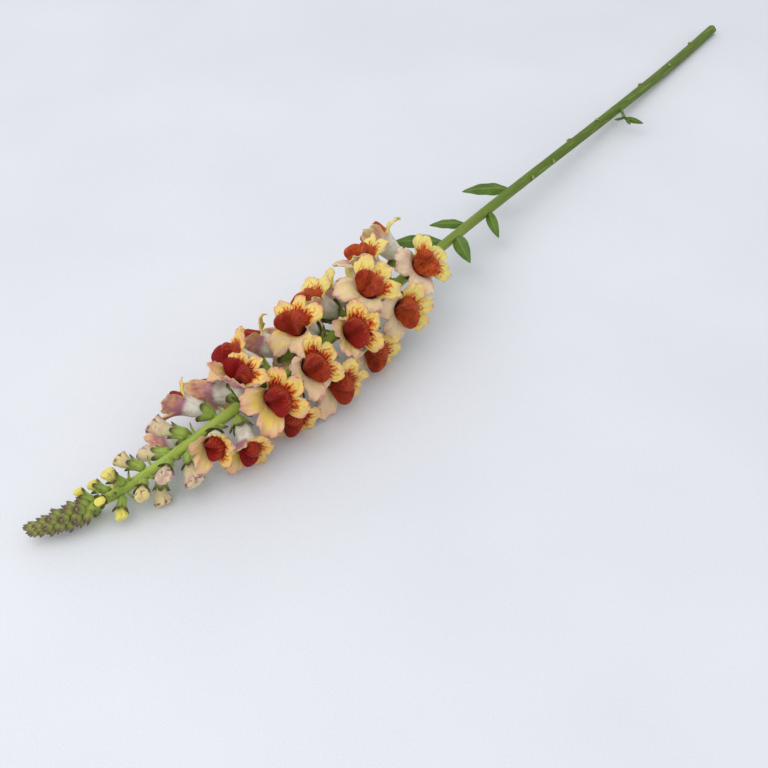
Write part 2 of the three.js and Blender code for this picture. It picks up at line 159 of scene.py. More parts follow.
def lip_reach(angle):
    """How far the lips stand out from the mouth, in mm: the largest of the lobes, and a least reach.
    A lobe is given by its middle and half width in degrees and its reach."""
    a = np.abs(angle)
    lobes = np.maximum(lobe(a, *UPPER_LOBE), lobe(a, *SIDE_LOBE))
    return np.maximum(LEAST_REACH, np.maximum(lobes, lobe(a, *MIDDLE_LOBE)))


def lower_side(angle):
    """0 on the upper side of the tube and 1 on its lower side."""
    return smooth(70, 125, np.abs(angle))


def tube_radii(angle):
    """Half width and half height of the tube; its lower side is the wider one."""
    low = lower_side(angle)
    return 6 + 1.6 * low, 5.6 + 0.9 * low


def mouth(angle):
    """The rim of the tube: an oval that reaches further forward below."""
    wide, high = tube_radii(angle)
    a = np.radians(angle)
    ahead = TUBE_LENGTH + LOWER_REACH * lower_side(angle)
    return np.stack([ahead, wide * np.sin(a), high * np.cos(a)], -1)


def tube(angle, share):
    """The tube from base to mouth: ovals that grow as share^0.8, with a pouch under the base."""
    wide, high = tube_radii(angle)
    a = np.radians(angle)
    grown = share ** 0.8
    pouch = 1.1 * smooth(60, 150, np.abs(angle)) * np.sin(np.pi * np.minimum(1, share * 1.4))
    return np.stack([
        mouth(angle)[..., 0] * share,
        lerp(TUBE_BASE, wide, grown) * np.sin(a),
        (lerp(TUBE_BASE, high, grown) + pouch) * np.cos(a),
    ], -1)


def lip(angle, reach, opened, raised, depth):
    """A lip leaves the mouth at an angle and curls back on an arc: the chord of the arc of that reach,
    whose length is reach * sin(h) / h for half the turned angle h, then a step inwards by the depth.
    The lower lip bends by how far the mouth is opened, the upper one by how far it is raised."""
    low = smooth(78, 102, np.abs(angle))
    start = np.radians(lerp(4 + 24 * raised, 6 + 54 * opened, low))
    curl = np.radians(lerp(-3 + 8.5 * raised, -4 + 11 * opened, low))
    half_turn = curl * reach / 2
    chord = reach * np.sinc(half_turn / np.pi)
    turned = start + 2 * half_turn
    spread = np.radians(angle) * lerp(0.86, 1, low)
    ray = np.stack([0 * spread, np.sin(spread), np.cos(spread)], -1)
    ahead = chord * np.cos(start + half_turn) + depth * np.sin(turned)
    outward = chord * np.sin(start + half_turn) - depth * np.cos(turned)
    return mouth(angle) + ahead[..., None] * np.array([1, 0, 0]) + outward[..., None] * ray


ring = np.arange(0, 360, 5.0) - 180
edge = lip(ring, lip_reach(ring), 1.0, 0.7, LIP_THICKNESS / 2)
print("a wide open floret of size 1 is", round(float(np.ptp(edge[:, 1])), 1), "mm wide and",
      round(float(np.ptp(edge[:, 2])), 1), "mm high")


# %% Palate and bud
def palate(angle, share, opened, raised):
    """From the rim of the mouth to the throat in a straight line, plus the swelling of the lower side:
    a half sine forward and a smaller one upward, with a furrow between the two humps."""
    rim = lip(angle, 0 * angle, opened, raised, LIP_THICKNESS)
    swell = smooth(68, 106, np.abs(angle))
    wide = opened ** 2 * swell
    point = lerp(rim, THROAT, share[..., None])
    arch = np.sin(np.pi * share ** 0.8)
    point[..., 1] = rim[..., 1] * (1 - share ** (1 + 1.6 * wide)) * (1 + 0.12 * wide * arch)
    middle = np.exp(-((point[..., 1] / 1.8) ** 2)) * smooth(110, 150, np.abs(angle))
    furrow = 1 - 0.3 * middle * (1 - smooth(0.75, 1, share))
    height = 9.5 * (0.55 + 0.45 * opened) * np.sin(np.pi * share ** 0.56) ** 0.6
    point[..., 0] += swell * height * furrow
    point[..., 2] += swell * 2.6 * arch * furrow
    return point


def bud_point(angle, share, reach, radius):
    """A shut corolla: a tube that widens by a smooth step to a blunt end, which is higher than wide,
    reaches further ahead on its upper side and is sunk a little in the middle."""
    a = np.radians(angle)
    swollen = 0.46 + 0.54 * smooth(0.15, 0.85, share)
    closing = np.clip(1 - np.maximum(0, (share - 0.8) / 0.2) ** 3, 0, 1) ** (1 / 3)
    around = radius * swollen * closing
    end = smooth(0.5, 1, share)
    hood = 0.13 * reach * np.cos(a) * end * closing
    return np.stack([
        reach * (share - 0.14 * (1 - closing)) + hood,
        0.85 * around * np.sin(a),
        1.08 * around * np.cos(a) - 0.09 * reach * end,
    ], -1)


humps = palate(ring, np.full_like(ring, 0.3), 1.0, 0.7)
print("its palate stands", round(float(humps[:, 0].max()) - TUBE_LENGTH, 1), "mm before the mouth")
thick = bud_point(ring, np.full_like(ring, 0.8), 18, 4.7)
print("a bud 18 mm long is", round(float(np.ptp(thick[:, 2])), 1), "mm high")

# %% [markdown]
# ## Where the florets stand
# Florets leave the stem one golden angle apart, each on a short stalk, and the older ones are larger
# and wider open. Where they crowd, they turn each other aside. That is worked out with balls that stand
# for each corolla: in every round, each ball that presses on another corolla, on the stem or on the
# table turns its own corolla a little. All the balls are one array, so a round is a few lines of numpy.

# %% Places along the stem
BUD_COUNT = 14
BUD_START = 31.6
BUD_STEP = 2.5
BUD_GROWTH = 0.14
FLORET_COUNT = 24
FLORET_START = 91
FLORET_STEP = 7.9
PLACES = BUD_COUNT + FLORET_COUNT


def leaning(distance, angle, lean):
    """Directions of a floret that leans away from the stem's tip by lean degrees: ahead, aside, top."""
    out, tip = outwards(distance, angle), towards_tip(distance)
    turn = np.radians(lean)[..., None]
    ahead = out * np.sin(turn) + tip * np.cos(turn)
    top = tip * np.sin(turn) - out * np.cos(turn)
    return ahead, np.cross(top, ahead), top


def places():
    """Distance, direction, foot, turn and size of each corolla, from its number on the stem."""
    i = np.arange(PLACES)
    k = i - BUD_COUNT
    is_bud = k < 0
    bud_distance = BUD_START + (BUD_STEP + BUD_GROWTH * i) * i
    distance = np.where(is_bud, bud_distance, FLORET_START + FLORET_STEP * k)
    around = GOLDEN_ANGLE * i + 40
    around = around - 360 * np.round(around / 360)
    bare = lerp(5, 50, smooth(48, 70, distance))
    least = lerp(bare, 14, smooth(100, 150, distance))
    most = lerp(150, 122, smooth(50, 120, distance))
    angle = np.sign(around) * lerp(least, most, np.abs(around) / 180)
    lean = np.where(is_bud, 48 + 14 * scatter(i, 1), 62 + 12 * scatter(i, 1))
    grown = np.clip(i / (BUD_COUNT - 1), 0, 1)
    out, tip = outwards(distance, angle), towards_tip(distance)
    stalk = lerp(2.2, 4.2, grown)[:, None]
    start = axis(distance) + out * 0.9 * stem_radius(distance)[:, None]
    open_size = lerp(0.86, 1.14, smooth(0, 7, k)) + 0.06 * (scatter(i, 2) - 0.5)
    return {
        "is_bud": is_bud,
        "distance": distance,
        "angle": angle,
        "foot": start + (0.8 * out + 0.6 * tip) * stalk,
        "turn": np.stack(leaning(distance, angle, lean), -1),
        "size": np.where(is_bud, lerp(0.82, 0.98, grown), open_size),
        "opened": lerp(0.42, 0.95, smooth(-1, 5, k)) + 0.1 * (scatter(i, 3) - 0.5),
        "raised": lerp(0.45, 0.75, smooth(-1, 6, k)) + 0.5 * (scatter(i, 10) - 0.5),
        "reach": lerp(7.4, 18, grown ** 1.4),
        "radius": lerp(2.0, 4.7, grown),
    }


spots = places()
print(BUD_COUNT, "buds and", FLORET_COUNT, "florets, from", round(float(spots["distance"].min())), "to",
      round(float(spots["distance"].max())), "mm from the tip")

# %% Florets that crowd each other
LOBE_BALLS = np.array([
    [40, 0.62, 5.4], [-40, 0.62, 5.4], [126, 0.6, 4.2], [-126, 0.6, 4.2], [180, 0.6, 4],
])
TUBE_BALLS = np.array([[16.5, 0, -0.5, 7.6], [6, 0, 0, 4.6]])
ROUNDS = 160
SOFTNESS = 0.35
PETAL_SINK = 1.8


def balls(i):
    """Centres and radii of the balls that stand for corolla i, in its own frame."""
    if spots["is_bud"][i]:
        reach, radius = spots["reach"][i], spots["radius"][i]
        return np.array([[0.72 * reach, 0, 0], [0.3 * reach, 0, 0]]), radius * np.array([1.1, 0.9])
    angle, share, radius = LOBE_BALLS.T
    bend_of = spots["opened"][i], spots["raised"][i]
    lobes = lip(angle, lip_reach(angle) * share, *bend_of, LIP_THICKNESS / 2)
    centres = np.concatenate([lobes, TUBE_BALLS[:, :3]])
    return centres * spots["size"][i], np.append(radius, TUBE_BALLS[:, 3]) * spots["size"][i]


def rotations(vectors, angles):
    """Rodrigues' formula: a rotation matrix about each vector, by each angle in radians."""
    x, y, z = unit(vectors + 1e-12).T
    zero = 0 * x
    cross = np.array([[zero, -z, y], [z, zero, -x], [-y, x, zero]]).transpose(2, 0, 1)
    sine, versine = np.sin(angles)[:, None, None], (1 - np.cos(angles))[:, None, None]
    return np.eye(3) + sine * cross + versine * (cross @ cross)


def settle():
    """Turns each corolla about its foot until its balls press on the others only a little."""
    made = [balls(i) for i in range(PLACES)]
    centres = np.concatenate([centre for centre, _ in made])
    radii = np.concatenate([radius for _, radius in made])
    owner = np.repeat(np.arange(PLACES), [len(radius) for _, radius in made])
    owned = (owner == np.arange(PLACES)[:, None]).astype(float)
    others = owner[:, None] != owner
    touching = radii[:, None] + radii
    for _ in range(ROUNDS):
        arm = np.einsum("nij,nj->ni", spots["turn"][owner], centres)
        point = arm + spots["foot"][owner]
        by = np.zeros_like(point)
        by[:, 2] = np.maximum(0, radii - PETAL_SINK - point[:, 2])
        away = point - axis(np.clip(point[:, 0] + ORIGIN_X, 0, STEM_LENGTH))
        near = radii + stem_radius(spots["distance"][owner]) - np.linalg.norm(away, axis=1)
        by += unit(away) * np.maximum(0, near)[:, None] / 2
        apart = point[:, None] - point
        gap = np.where(others, np.linalg.norm(apart, axis=2), 1)
        overlap = np.where(others, np.maximum(0, touching - gap), 0)
        by += (apart * (overlap / gap / 2)[..., None]).sum(1)
        turns = owned @ (np.cross(arm, by) / (arm ** 2).sum(1)[:, None])
        spots["turn"] = rotations(turns, np.linalg.norm(turns, axis=1) * SOFTNESS) @ spots["turn"]
    return float(overlap.max())


print("after settling the deepest press is", round(settle(), 2), "mm")

# %% [markdown]
# ## From points to a piece
# Each piece is a stack of closed rings with a single point at either end, so it has no open seam and
# no open end. Some pieces are many such stacks, one for each calyx or bract. The faces are worked out
# once for one stack and repeated with an offset. What lies on the table is pressed flat by one rule for
# every piece: heights run smoothly into zero, so a petal turns up there and doesn't pass through.

# %% Making meshes
MM = 0.001
PRESS = 0.35


def pressed(points):
    """Height z becomes (z + sqrt(z^2 + PRESS^2)) / 2, which is never below the table."""
    z = points[..., 2]
    lifted = (z + np.sqrt(z * z + PRESS ** 2)) / 2
    return np.concatenate([points[..., :2], lifted[..., None]], -1)


def stack_faces(rows, columns):
    """Corners of the faces of one stack: a fan at each end, and four-sided faces in between.
    Point 0 is the first end, then come the rings, then the last end."""
    j = np.arange(columns)
    after = (j + 1) % columns
    first = 1 + (np.arange(rows - 1) * columns)[:, None]
    quads = np.stack([first + j, first + after, first + columns + after, first + columns + j], -1)
    last = 1 + (rows - 1) * columns
    fan = np.stack([0 * j, 1 + after, 1 + j], -1)
    end_fan = np.stack([last + j, last + after, 0 * j + 1 + rows * columns], -1)
    return quads.reshape(-1, 4), np.concatenate([fan, end_fan])


def stacked(rings, start, end):
    """One array of points for stacks of rings: each stack's start, its rings, its end."""
    stacks = rings.shape[0]
    return np.concatenate([start[:, None], rings.reshape(stacks, -1, rings.shape[-1]), end[:, None]], 1)


def make_piece(name, rings, start, end, material, **attributes):
    """A mesh object from rings (stack, row, column, xyz) and the ends (stack, xyz) of each stack.
    An attribute is three numbers a point: (rings, start, end) laid out as the points are."""
    points = pressed(stacked(rings, start, end)) * MM
    stacks, rows, columns = rings.shape[:3]
    offset = (np.arange(stacks) * (rows * columns + 2))[:, None, None]
    quads, fans = stack_faces(rows, columns)
    quads = (quads + offset).reshape(-1, 4)
    fans = (fans + offset).reshape(-1, 3)
    mesh = bpy.data.meshes.new(name)
    mesh.vertices.add(points.shape[0] * points.shape[1])
    mesh.vertices.foreach_set("co", points.astype(np.float32).ravel())
    corners = np.concatenate([quads.ravel(), fans.ravel()])
    mesh.loops.add(len(corners))
    mesh.loops.foreach_set("vertex_index", corners.astype(np.int32))
    mesh.polygons.add(len(quads) + len(fans))
    starts = np.append(np.arange(len(quads)) * 4, quads.size + np.arange(len(fans)) * 3)
    mesh.polygons.foreach_set("loop_start", starts.astype(np.int32))
    mesh.update(calc_edges=True)
    mesh.shade_smooth()
    for label, (on_rings, at_start, at_end) in attributes.items():
        values = stacked(on_rings, at_start, at_end).astype(np.float32)
        mesh.attributes.new(label, "FLOAT_VECTOR", "POINT").data.foreach_set("vector", values.ravel())
    mesh.materials.append(material)
    piece = bpy.data.objects.new(name, mesh)
    bpy.context.scene.collection.objects.link(piece)
    return piece


def triples(*parts):
    """Three numbers a point, from arrays or numbers that are stretched to the same shape."""
    return np.stack(np.broadcast_arrays(*parts), -1).astype(float)


def triangles(piece):
    """How many triangles a piece has."""
    corners = np.empty(len(piece.data.polygons), np.int32)
    piece.data.polygons.foreach_get("loop_total", corners)
    return int((corners - 2).sum())


print("a stack of 3 rings with 4 columns has", sum(len(part) for part in stack_faces(3, 4)), "faces")

# %% [markdown]
# ## Shader maths in plain Python
# A petal's colour is mixed by masks: where the lip starts, where the palate is, how old the floret is.
# Written with nodes by hand that is a long list of links. A small class stands for the output of one
# node instead, and its operators add Math nodes, so a mask reads like the formula that it is.

# %% Colours
def rgb(red, green, blue):
    """A colour from 0 to 255 a channel, as Blender's linear light: ((c + 0.055) / 1.055)^2.4."""
    channels = [value / 255 for value in (red, green, blue)]
    return tuple(c / 12.92 if c < 0.04 else ((c + 0.055) / 1.055) ** 2.4 for c in channels) + (1,)


print("a mid grey of 128 is", round(rgb(128, 128, 128)[0], 3), "in linear light")


# %% A wire
class Wire:
    """The output of a shader node. Arithmetic on wires adds Math nodes to the same paint."""

    def __init__(self, paint, socket):
        self.paint = paint
        self.socket = socket

    def maths(self, operation, first, second=0.0, clamped=False):
        settings = {"operation": operation, "use_clamp": clamped}
        return self.paint.node("ShaderNodeMath", settings, [first, second])

    def __add__(self, other):
        return self.maths("ADD", self, other)

    def __sub__(self, other):
        return self.maths("SUBTRACT", self, other)

    def __rsub__(self, other):
        return self.maths("SUBTRACT", other, self)

    def __mul__(self, other):
        return self.maths("MULTIPLY", self, other)

    __radd__ = __add__
    __rmul__ = __mul__

    def sine(self):
        return self.maths("SINE", self)

    def clamped(self):
        return self.maths("ADD", self, 0.0, clamped=True)

    def rising(self, start, end):
        """0 up to start, 1 from end on, smooth in between. If start is the larger it falls instead:
        1 up to end, and 0 from start on."""
        ends = {"From Min": start, "From Max": end, "To Min": 0.0, "To Max": 1.0}
        settings = {"interpolation_type": "SMOOTHSTEP"}
        return self.paint.node("ShaderNodeMapRange", settings, {"Value": self, **ends})


print("a wire's functions:", [name for name in vars(Wire) if not name.startswith("_")])


# %% A paint
class Paint:
    """A material on Blender's Principled shader, with the nodes that vary it over the surface."""

    def __init__(self, name, **constants):
        self.material = bpy.data.materials.new(name)
        self.material.use_nodes = True
        self.tree = self.material.node_tree
        self.shader = self.tree.nodes["Principled BSDF"]
        for socket, value in constants.items():
            self.shader.inputs[socket.replace("_", " ")].default_value = value

    def node(self, kind, settings, inputs, output=0):
        """Adds a node: its settings, then the value or wire of each input; gives one of its outputs."""
        made = self.tree.nodes.new(kind)
        for name, value in settings.items():
            setattr(made, name, value)
        for name, value in inputs.items() if isinstance(inputs, dict) else enumerate(inputs):
            if isinstance(value, Wire):
                self.tree.links.new(value.socket, made.inputs[name])
            else:
                made.inputs[name].default_value = value
        return Wire(self, made.outputs[output])

    def parts(self, label):
        """The three numbers of one of the piece's attributes."""
        vector = self.node("ShaderNodeAttribute", {"attribute_name": label}, {}, output=1)
        split = self.node("ShaderNodeSeparateXYZ", {}, [vector])
        return [Wire(self, output) for output in split.socket.node.outputs]

    def noise(self, per_metre, detail=2.0, stretch=(1, 1, 1)):
        """Soft noise on the object's own coordinates, from 0 to 1."""
        place = self.node("ShaderNodeTexCoord", {}, {}, output=3)
        scaled = self.node("ShaderNodeMapping", {}, {"Vector": place, "Scale": stretch})
        inputs = {"Vector": scaled, "Scale": per_metre, "Detail": detail}
        return self.node("ShaderNodeTexNoise", {}, inputs)

    def mix(self, share, first, second):
        """A colour between two colours; the Mix node's inputs 0, 6 and 7 are its factor and colours."""
        inputs = {0: share, 6: first, 7: second}
        return self.node("ShaderNodeMix", {"data_type": "RGBA"}, inputs, output=2)

    def finish(self, colour, height=None, depth=0.0):
        """Plugs in what varies: the colour, and a relief of a depth in metres."""
        self.tree.links.new(colour.socket, self.shader.inputs["Base Color"])
        if height is not None:
            relief = self.node("ShaderNodeBump", {}, {"Distance": depth, "Height": height})
            self.tree.links.new(relief.socket, self.shader.inputs["Normal"])
        return self.material


print("a paint's functions:", [name for name in vars(Paint) if not name.startswith("_")])

# %% [markdown]
# ## Petals
# The petals are velvety: many tiny round cells scatter the light and give a soft sheen. They are also
# thin, so light comes through them, which a little subsurface scattering shows. The colours follow the
# stretches of the floret. Its tube is cream, green at the base and flushed with mauve. The upper lip is
# pink and peach on its back, and straw-coloured with peach veins and edges inside. The palate is
# crimson, and streaks of crimson and orange run out from it over the yellow of the lower lip. Young
# florets are pinker. Old ones fade: their lips turn to straw and their palates to burnt orange.

# %% Petal colours
CREAM = rgb(236, 232, 214)
PALE_GREEN = rgb(200, 208, 156)
MAUVE = rgb(180, 116, 140)
PEACH = rgb(230, 172, 136)
SHELL = rgb(240, 218, 192)
YELLOW = rgb(238, 206, 76)
LEMON = rgb(234, 224, 112)
STRAW = rgb(236, 222, 166)
APRICOT = rgb(230, 142, 66)
ORANGE = rgb(214, 92, 28)
BURNT_ORANGE = rgb(172, 64, 14)
SCARLET = rgb(180, 38, 14)
CRIMSON = rgb(126, 4, 8)
DARK_RED = rgb(80, 4, 8)
print("the palate's crimson is", [round(c, 4) for c in CRIMSON[:3]], "in linear light")

# %% [markdown]
# Every colour is placed by a few masks. Three come with the mesh: how far along the skin a point is, on
# which side of the petal, and how far round the flower. Two more say how old the flower is and set it
# apart from its neighbours. The rest are noises, and waves round the flower that stand for its veins
# and for the streaks that run out of the palate.

# %% Petal masks
VEINS_AROUND = 290.0
FLAMES_AROUND = 84.0


class PetalMasks:
    """share: -1 base of tube, 0 mouth, 1 edge of lip; on the inside, below 0 is palate and throat.
    inside: 0 back, 1 front. around: 0 top, 1 bottom. age and seed: from 0 to 1, one for each flower."""

    def __init__(self, paint):
        self.share, self.inside, self.around = paint.parts("petal")
        self.age, self.seed, _ = paint.parts("flower")
        self.blotch = paint.noise(260.0)
        self.crumple = paint.noise(560.0, 2.0)
        self.speck = paint.noise(1100.0, 3.0)
        self.low = self.around.rising(0.43, 0.55)
        self.edge = self.share.rising(0.5, 1.0)
        self.old = (self.age + self.seed * 0.6).rising(0.5, 1.3)
        self.pink = (1.15 - self.age - self.seed * 0.5 + self.blotch * 0.5).clamped()
        waves = (self.around * VEINS_AROUND + self.blotch * 11.0).sine() * 0.5 + 0.5
        self.veins = waves.rising(0.5, 1.0) * self.blotch.rising(0.2, 0.7)
        self.flames = (self.around * FLAMES_AROUND + self.blotch * 20.0).sine() * 0.5 + 0.5


petal_coat = Paint("petal", Roughness=0.62, Specular_IOR_Level=0.2, Subsurface_Weight=0.22,
                   Subsurface_Radius=(1.0, 0.45, 0.25), Subsurface_Scale=0.0012, Sheen_Weight=0.04,
                   Sheen_Roughness=0.5)
masks = PetalMasks(petal_coat)
print("petal masks:", len(petal_coat.tree.nodes), "nodes, for", round(VEINS_AROUND / (2 * math.pi)),
      "veins and", round(FLAMES_AROUND / (2 * math.pi)), "streaks on half a flower")


# %% Outside of a corolla
def outside_colour(paint, on):
    """The tube runs from pale green to cream with a mauve flush, and the backs of the lips from mauve
    through shell and peach to straw."""
    on_tube = paint.mix(on.share.rising(-0.95, -0.5), PALE_GREEN, CREAM)
    flush = on.blotch.rising(0.38, 0.76) * on.share.rising(-0.7, 0.2) * 0.6
    flush = flush + on.veins * 0.12 * on.share.rising(-0.9, 0)
    on_tube = paint.mix(flush.clamped(), on_tube, MAUVE)
    upper = paint.mix(on.share.rising(0.0, 0.6), paint.mix(on.pink, SHELL, MAUVE), PEACH)
    upper = paint.mix(on.edge * (1.1 - on.pink * 0.6), upper, STRAW)
    upper = paint.mix((on.pink * on.blotch.rising(0.35, 0.7) * 0.7).clamped(), upper, MAUVE)
    lower = paint.mix(on.share.rising(0.1, 0.9), SHELL, LEMON)
    back = paint.mix(on.low, upper, lower)
    return paint.mix(on.share.rising(-0.12, 0.12), on_tube, back)


outside = outside_colour(petal_coat, masks)
print("with the outside:", len(petal_coat.tree.nodes), "nodes")


# %% Faces of the lips
def upper_face(paint, on):
    """Straw and shell, yellow and orange near the mouth, with veins and edges of peach and mauve."""
    face = paint.mix((on.blotch + on.seed * 0.4 - 0.2).rising(0.2, 0.7), STRAW, SHELL)
    glow = (1.2 - on.blotch - on.old * 0.6).rising(0.2, 0.9) * (1 - on.edge)
    face = paint.mix(glow, face, YELLOW)
    face = paint.mix(on.share.rising(0.0, 0.22), ORANGE, face)
    face = paint.mix((on.veins * 0.8 * (1 - on.edge * 0.4)).clamped(), face, PEACH)
    face = paint.mix((on.edge * (0.15 + on.pink * 0.7)).clamped(), face, PEACH)
    rim = on.share.rising(0.88, 1.0) * on.blotch.rising(0.4, 0.6) * 0.7
    return paint.mix(rim.clamped(), face, MAUVE)


def lower_face(paint, on):
    """Yellow that fades in patches. Orange and crimson bleed into it from the mouth, in streaks that
    reach less far on old flowers. The edge is peach, with burnt spots on its rim."""
    face = paint.mix(on.old, YELLOW, LEMON)
    faded = (on.crumple * 0.5 + on.blotch * 0.5 + on.share * 0.12).rising(0.42, 0.66) * 0.4
    face = paint.mix(faded.clamped(), face, STRAW)
    bleeding = 0.6 - on.share + on.flames * 0.32 - on.blotch * 0.46 + on.seed * 0.2 - on.old * 0.26
    face = paint.mix(bleeding.rising(-0.1, 0.34), face, ORANGE)
    face = paint.mix((bleeding - 0.27).rising(0.0, 0.26), face, CRIMSON)
    flush = on.edge * (on.blotch + on.crumple * 0.3).rising(0.4, 0.72) * (1 - on.old * 0.5)
    face = paint.mix(flush.clamped(), face, PEACH)
    rim = on.share.rising(0.86, 1.0) * on.crumple.rising(0.42, 0.62) * (0.85 - on.old * 0.45)
    return paint.mix(rim.clamped(), face, BURNT_ORANGE)


faces = petal_coat.mix(masks.low, upper_face(petal_coat, masks), lower_face(petal_coat, masks))
print("with the faces of the lips:", len(petal_coat.tree.nodes), "nodes")

# %% Palate, throat and the whole paint
PETAL_RELIEF = 0.00025


def throat_colour(paint, on):
    """Crimson humps, burnt orange on old flowers, grained with scarlet or apricot and streaked with
    orange near the mouth. Above them the throat is dark red."""
    furrow = on.around.rising(0.9, 1.0) * on.share.rising(-0.9, -0.3)
    grain = on.speck.rising(0.45, 0.8) * 0.4 + on.veins * 0.3 + furrow * 0.6 * on.blotch
    grain = grain.clamped()
    young, old = paint.mix(grain, CRIMSON, SCARLET), paint.mix(grain, BURNT_ORANGE, APRICOT)
    hump = paint.mix(on.old, young, old)
    hump = paint.mix((on.blotch.rising(0.4, 0.65) * 0.7).clamped(), hump, CRIMSON)
    streaks = on.share.rising(-0.3, 0.0) * on.flames.rising(0.3, 0.9) * 0.45
    hump = paint.mix(streaks.clamped(), hump, ORANGE)
    return paint.mix(on.low, DARK_RED, hump)


def petal_relief(on):
    """Veins, cells and wrinkles; the palate has more of the cells and less of the veins."""
    on_palate = on.inside.rising(0.6, 1.0) * (1 - on.share.rising(-0.15, 0.05))
    return on.veins * (0.6 - on_palate * 0.5) + on.speck * (on_palate + 0.6) + on.crumple * 0.9


def past_the_mouth(on):
    """0 in the throat and on the palate, 1 on the faces of the lips, with an uneven border between."""
    border = on.share - on.low * (on.flames * 0.14 - 0.02) + on.speck * 0.16
    return border.rising(-0.06, 0.18)


inner = petal_coat.mix(past_the_mouth(masks), throat_colour(petal_coat, masks), faces)
petal_colour = petal_coat.mix(masks.inside, outside, inner)
petal = petal_coat.finish(petal_colour, petal_relief(masks), PETAL_RELIEF)
print("petal paint:", len(petal.node_tree.nodes), "nodes")

# %% [markdown]
# ## Open florets
# The petals of the real flower are under half a millimetre thick, ruffled at their edges and never
# twice the same. The frame's solid holds the large form with few faces. The fine skin runs through the
# same formulas on a dense grid and adds what is small: thinner lips, ribs where the five petals of the
# tube have grown together, a slow warp of each lip, a keel along each lobe, and quick ruffles that grow
# towards the edge. The palate gets creases that run into the throat, and a furrow in its middle.

# %% Ruffles, keels and creases
COLUMNS = 144
AROUND = 180 - np.arange(COLUMNS) * 360 / COLUMNS
LOBE_MIDDLES = np.array([UPPER_LOBE[0], -UPPER_LOBE[0], SIDE_LOBE[0], -SIDE_LOBE[0], MIDDLE_LOBE[0]])
KEEL_WIDTH = 11
FURROW_WIDTH = 1.6
FURROW_DEPTH = 2.1
TUBE_SEAMS = ((0, 0.25), (82, 0.35), (153, 0.25))


def keels(angle, phase):
    """The sum over the five lobes of h exp(-(d / width)^2): d is the angle from the lobe's middle, and
    h lies between -0.5 and 1 and differs from lobe to lobe."""
    off = (np.asarray(angle)[..., None] - LOBE_MIDDLES + 180) % 360 - 180
    height = 0.25 + 0.75 * np.sin(2.4 * np.arange(len(LOBE_MIDDLES)) + 3 * phase)
    return (height * np.exp(-((off / KEEL_WIDTH) ** 2))).sum(-1)


def warp(angle, share, phase):
    """Millimetres that a lip stands off its arc: four slow waves times share^2, three quick ones times
    share^1.8, a keel along each lobe, a roll that bends both edges of an upper lobe back, and fine
    pleats halfway out."""
    turn = np.radians(angle)
    slow = (0.6 * np.sin(turn + phase) + 0.45 * np.sin(2 * turn + 2.3 * phase)
            + 0.35 * np.sin(3 * turn + 4.1 * phase) + 0.4 * np.sin(5 * turn + 1.7 * phase))
    drift = phase + 1.5 * share
    quick = (0.6 * np.sin(7 * turn + 5 * drift) + 0.5 * np.sin(13 * turn + 3 * drift)
             + 0.3 * np.sin(23 * turn - 4 * drift))
    off = np.clip(np.abs(np.abs(angle) - UPPER_LOBE[0]) / 43, 0, 1)
    roll = off ** 2 * (1 - smooth(70, 90, np.abs(angle)))
    pleats = 0.09 * np.sin(47 * turn + 6 * np.sin(3 * turn + phase)) * np.sin(np.pi * share)
    fold = 1.5 * keels(angle, phase) * share ** 1.6
    return 1.5 * slow * share ** 2 + quick * share ** 1.8 + 1.5 * roll * share ** 2 + fold + pleats


def frill(angle, phase):
    """How much an edge's reach changes: a few percent, in waves of 8 to 30 degrees, up to a tenth more
    at the keel of a lobe, and a sixth less in the cleft between the two upper lobes."""
    turn = np.radians(angle)
    slow = 0.05 * np.sin(3 * turn + phase * 3) + 0.03 * np.sin(7 * turn + phase * 5)
    small = 0.034 * np.sin(19 * turn + phase * 7) + 0.02 * np.sin(43 * turn + phase * 2)
    return 1 + slow + small + 0.09 * keels(angle, phase) - 0.16 * np.exp(-((angle / 6) ** 2))


def ribs(angle, share):
    """Shallow grooves along the tube where two petals meet, each at an angle and of a depth in mm."""
    a = np.abs(angle)
    grooves = sum(depth * np.exp(-(((a - at) / 5) ** 2)) for at, depth in TUBE_SEAMS)
    return grooves * smooth(0, 0.35, share) * (1 - 0.4 * smooth(0.8, 1, share))


def creases(angle, down, phase):
    """Millimetres that the palate's skin stands out or in: folds that run into the throat, 17 and 37
    round the flower, each bent by a slower wave. They fade out at the mouth and in the throat."""
    turn = np.radians(angle)
    folds = np.sin(17 * turn + 3 * np.sin(4 * turn + phase) + 2 * down)
    fine = np.sin(37 * turn + 5 * np.sin(2 * turn + 2 * phase))
    return (0.16 * folds + 0.06 * fine) * np.sin(np.pi * down)


def furrow_depth(side, angle, down):
    """Millimetres that the palate is sunk between its two humps: a bell of the distance to the side,
    which comes in below the mouth and is deepest halfway down."""
    bell = np.exp(-((side / FURROW_WIDTH) ** 2)) * smooth(90, 140, np.abs(angle))
    return FURROW_DEPTH * bell * np.sin(np.pi * down ** 0.8) ** 2


off_arc = np.abs(warp(AROUND, 1.0, 0.0))
print("the edge of a lip stands off its arc by up to", round(float(off_arc.max()), 1), "mm")

# %% Fine florets
TUBE_ROWS = 14
LIP_ROWS = 18
PALATE_ROWS = 26


def in_place(points, i, size=1.0):
    """Points of corolla i's own frame, at a size, turned and moved to its foot."""
    return points * size @ spots["turn"][i].T + spots["foot"][i]


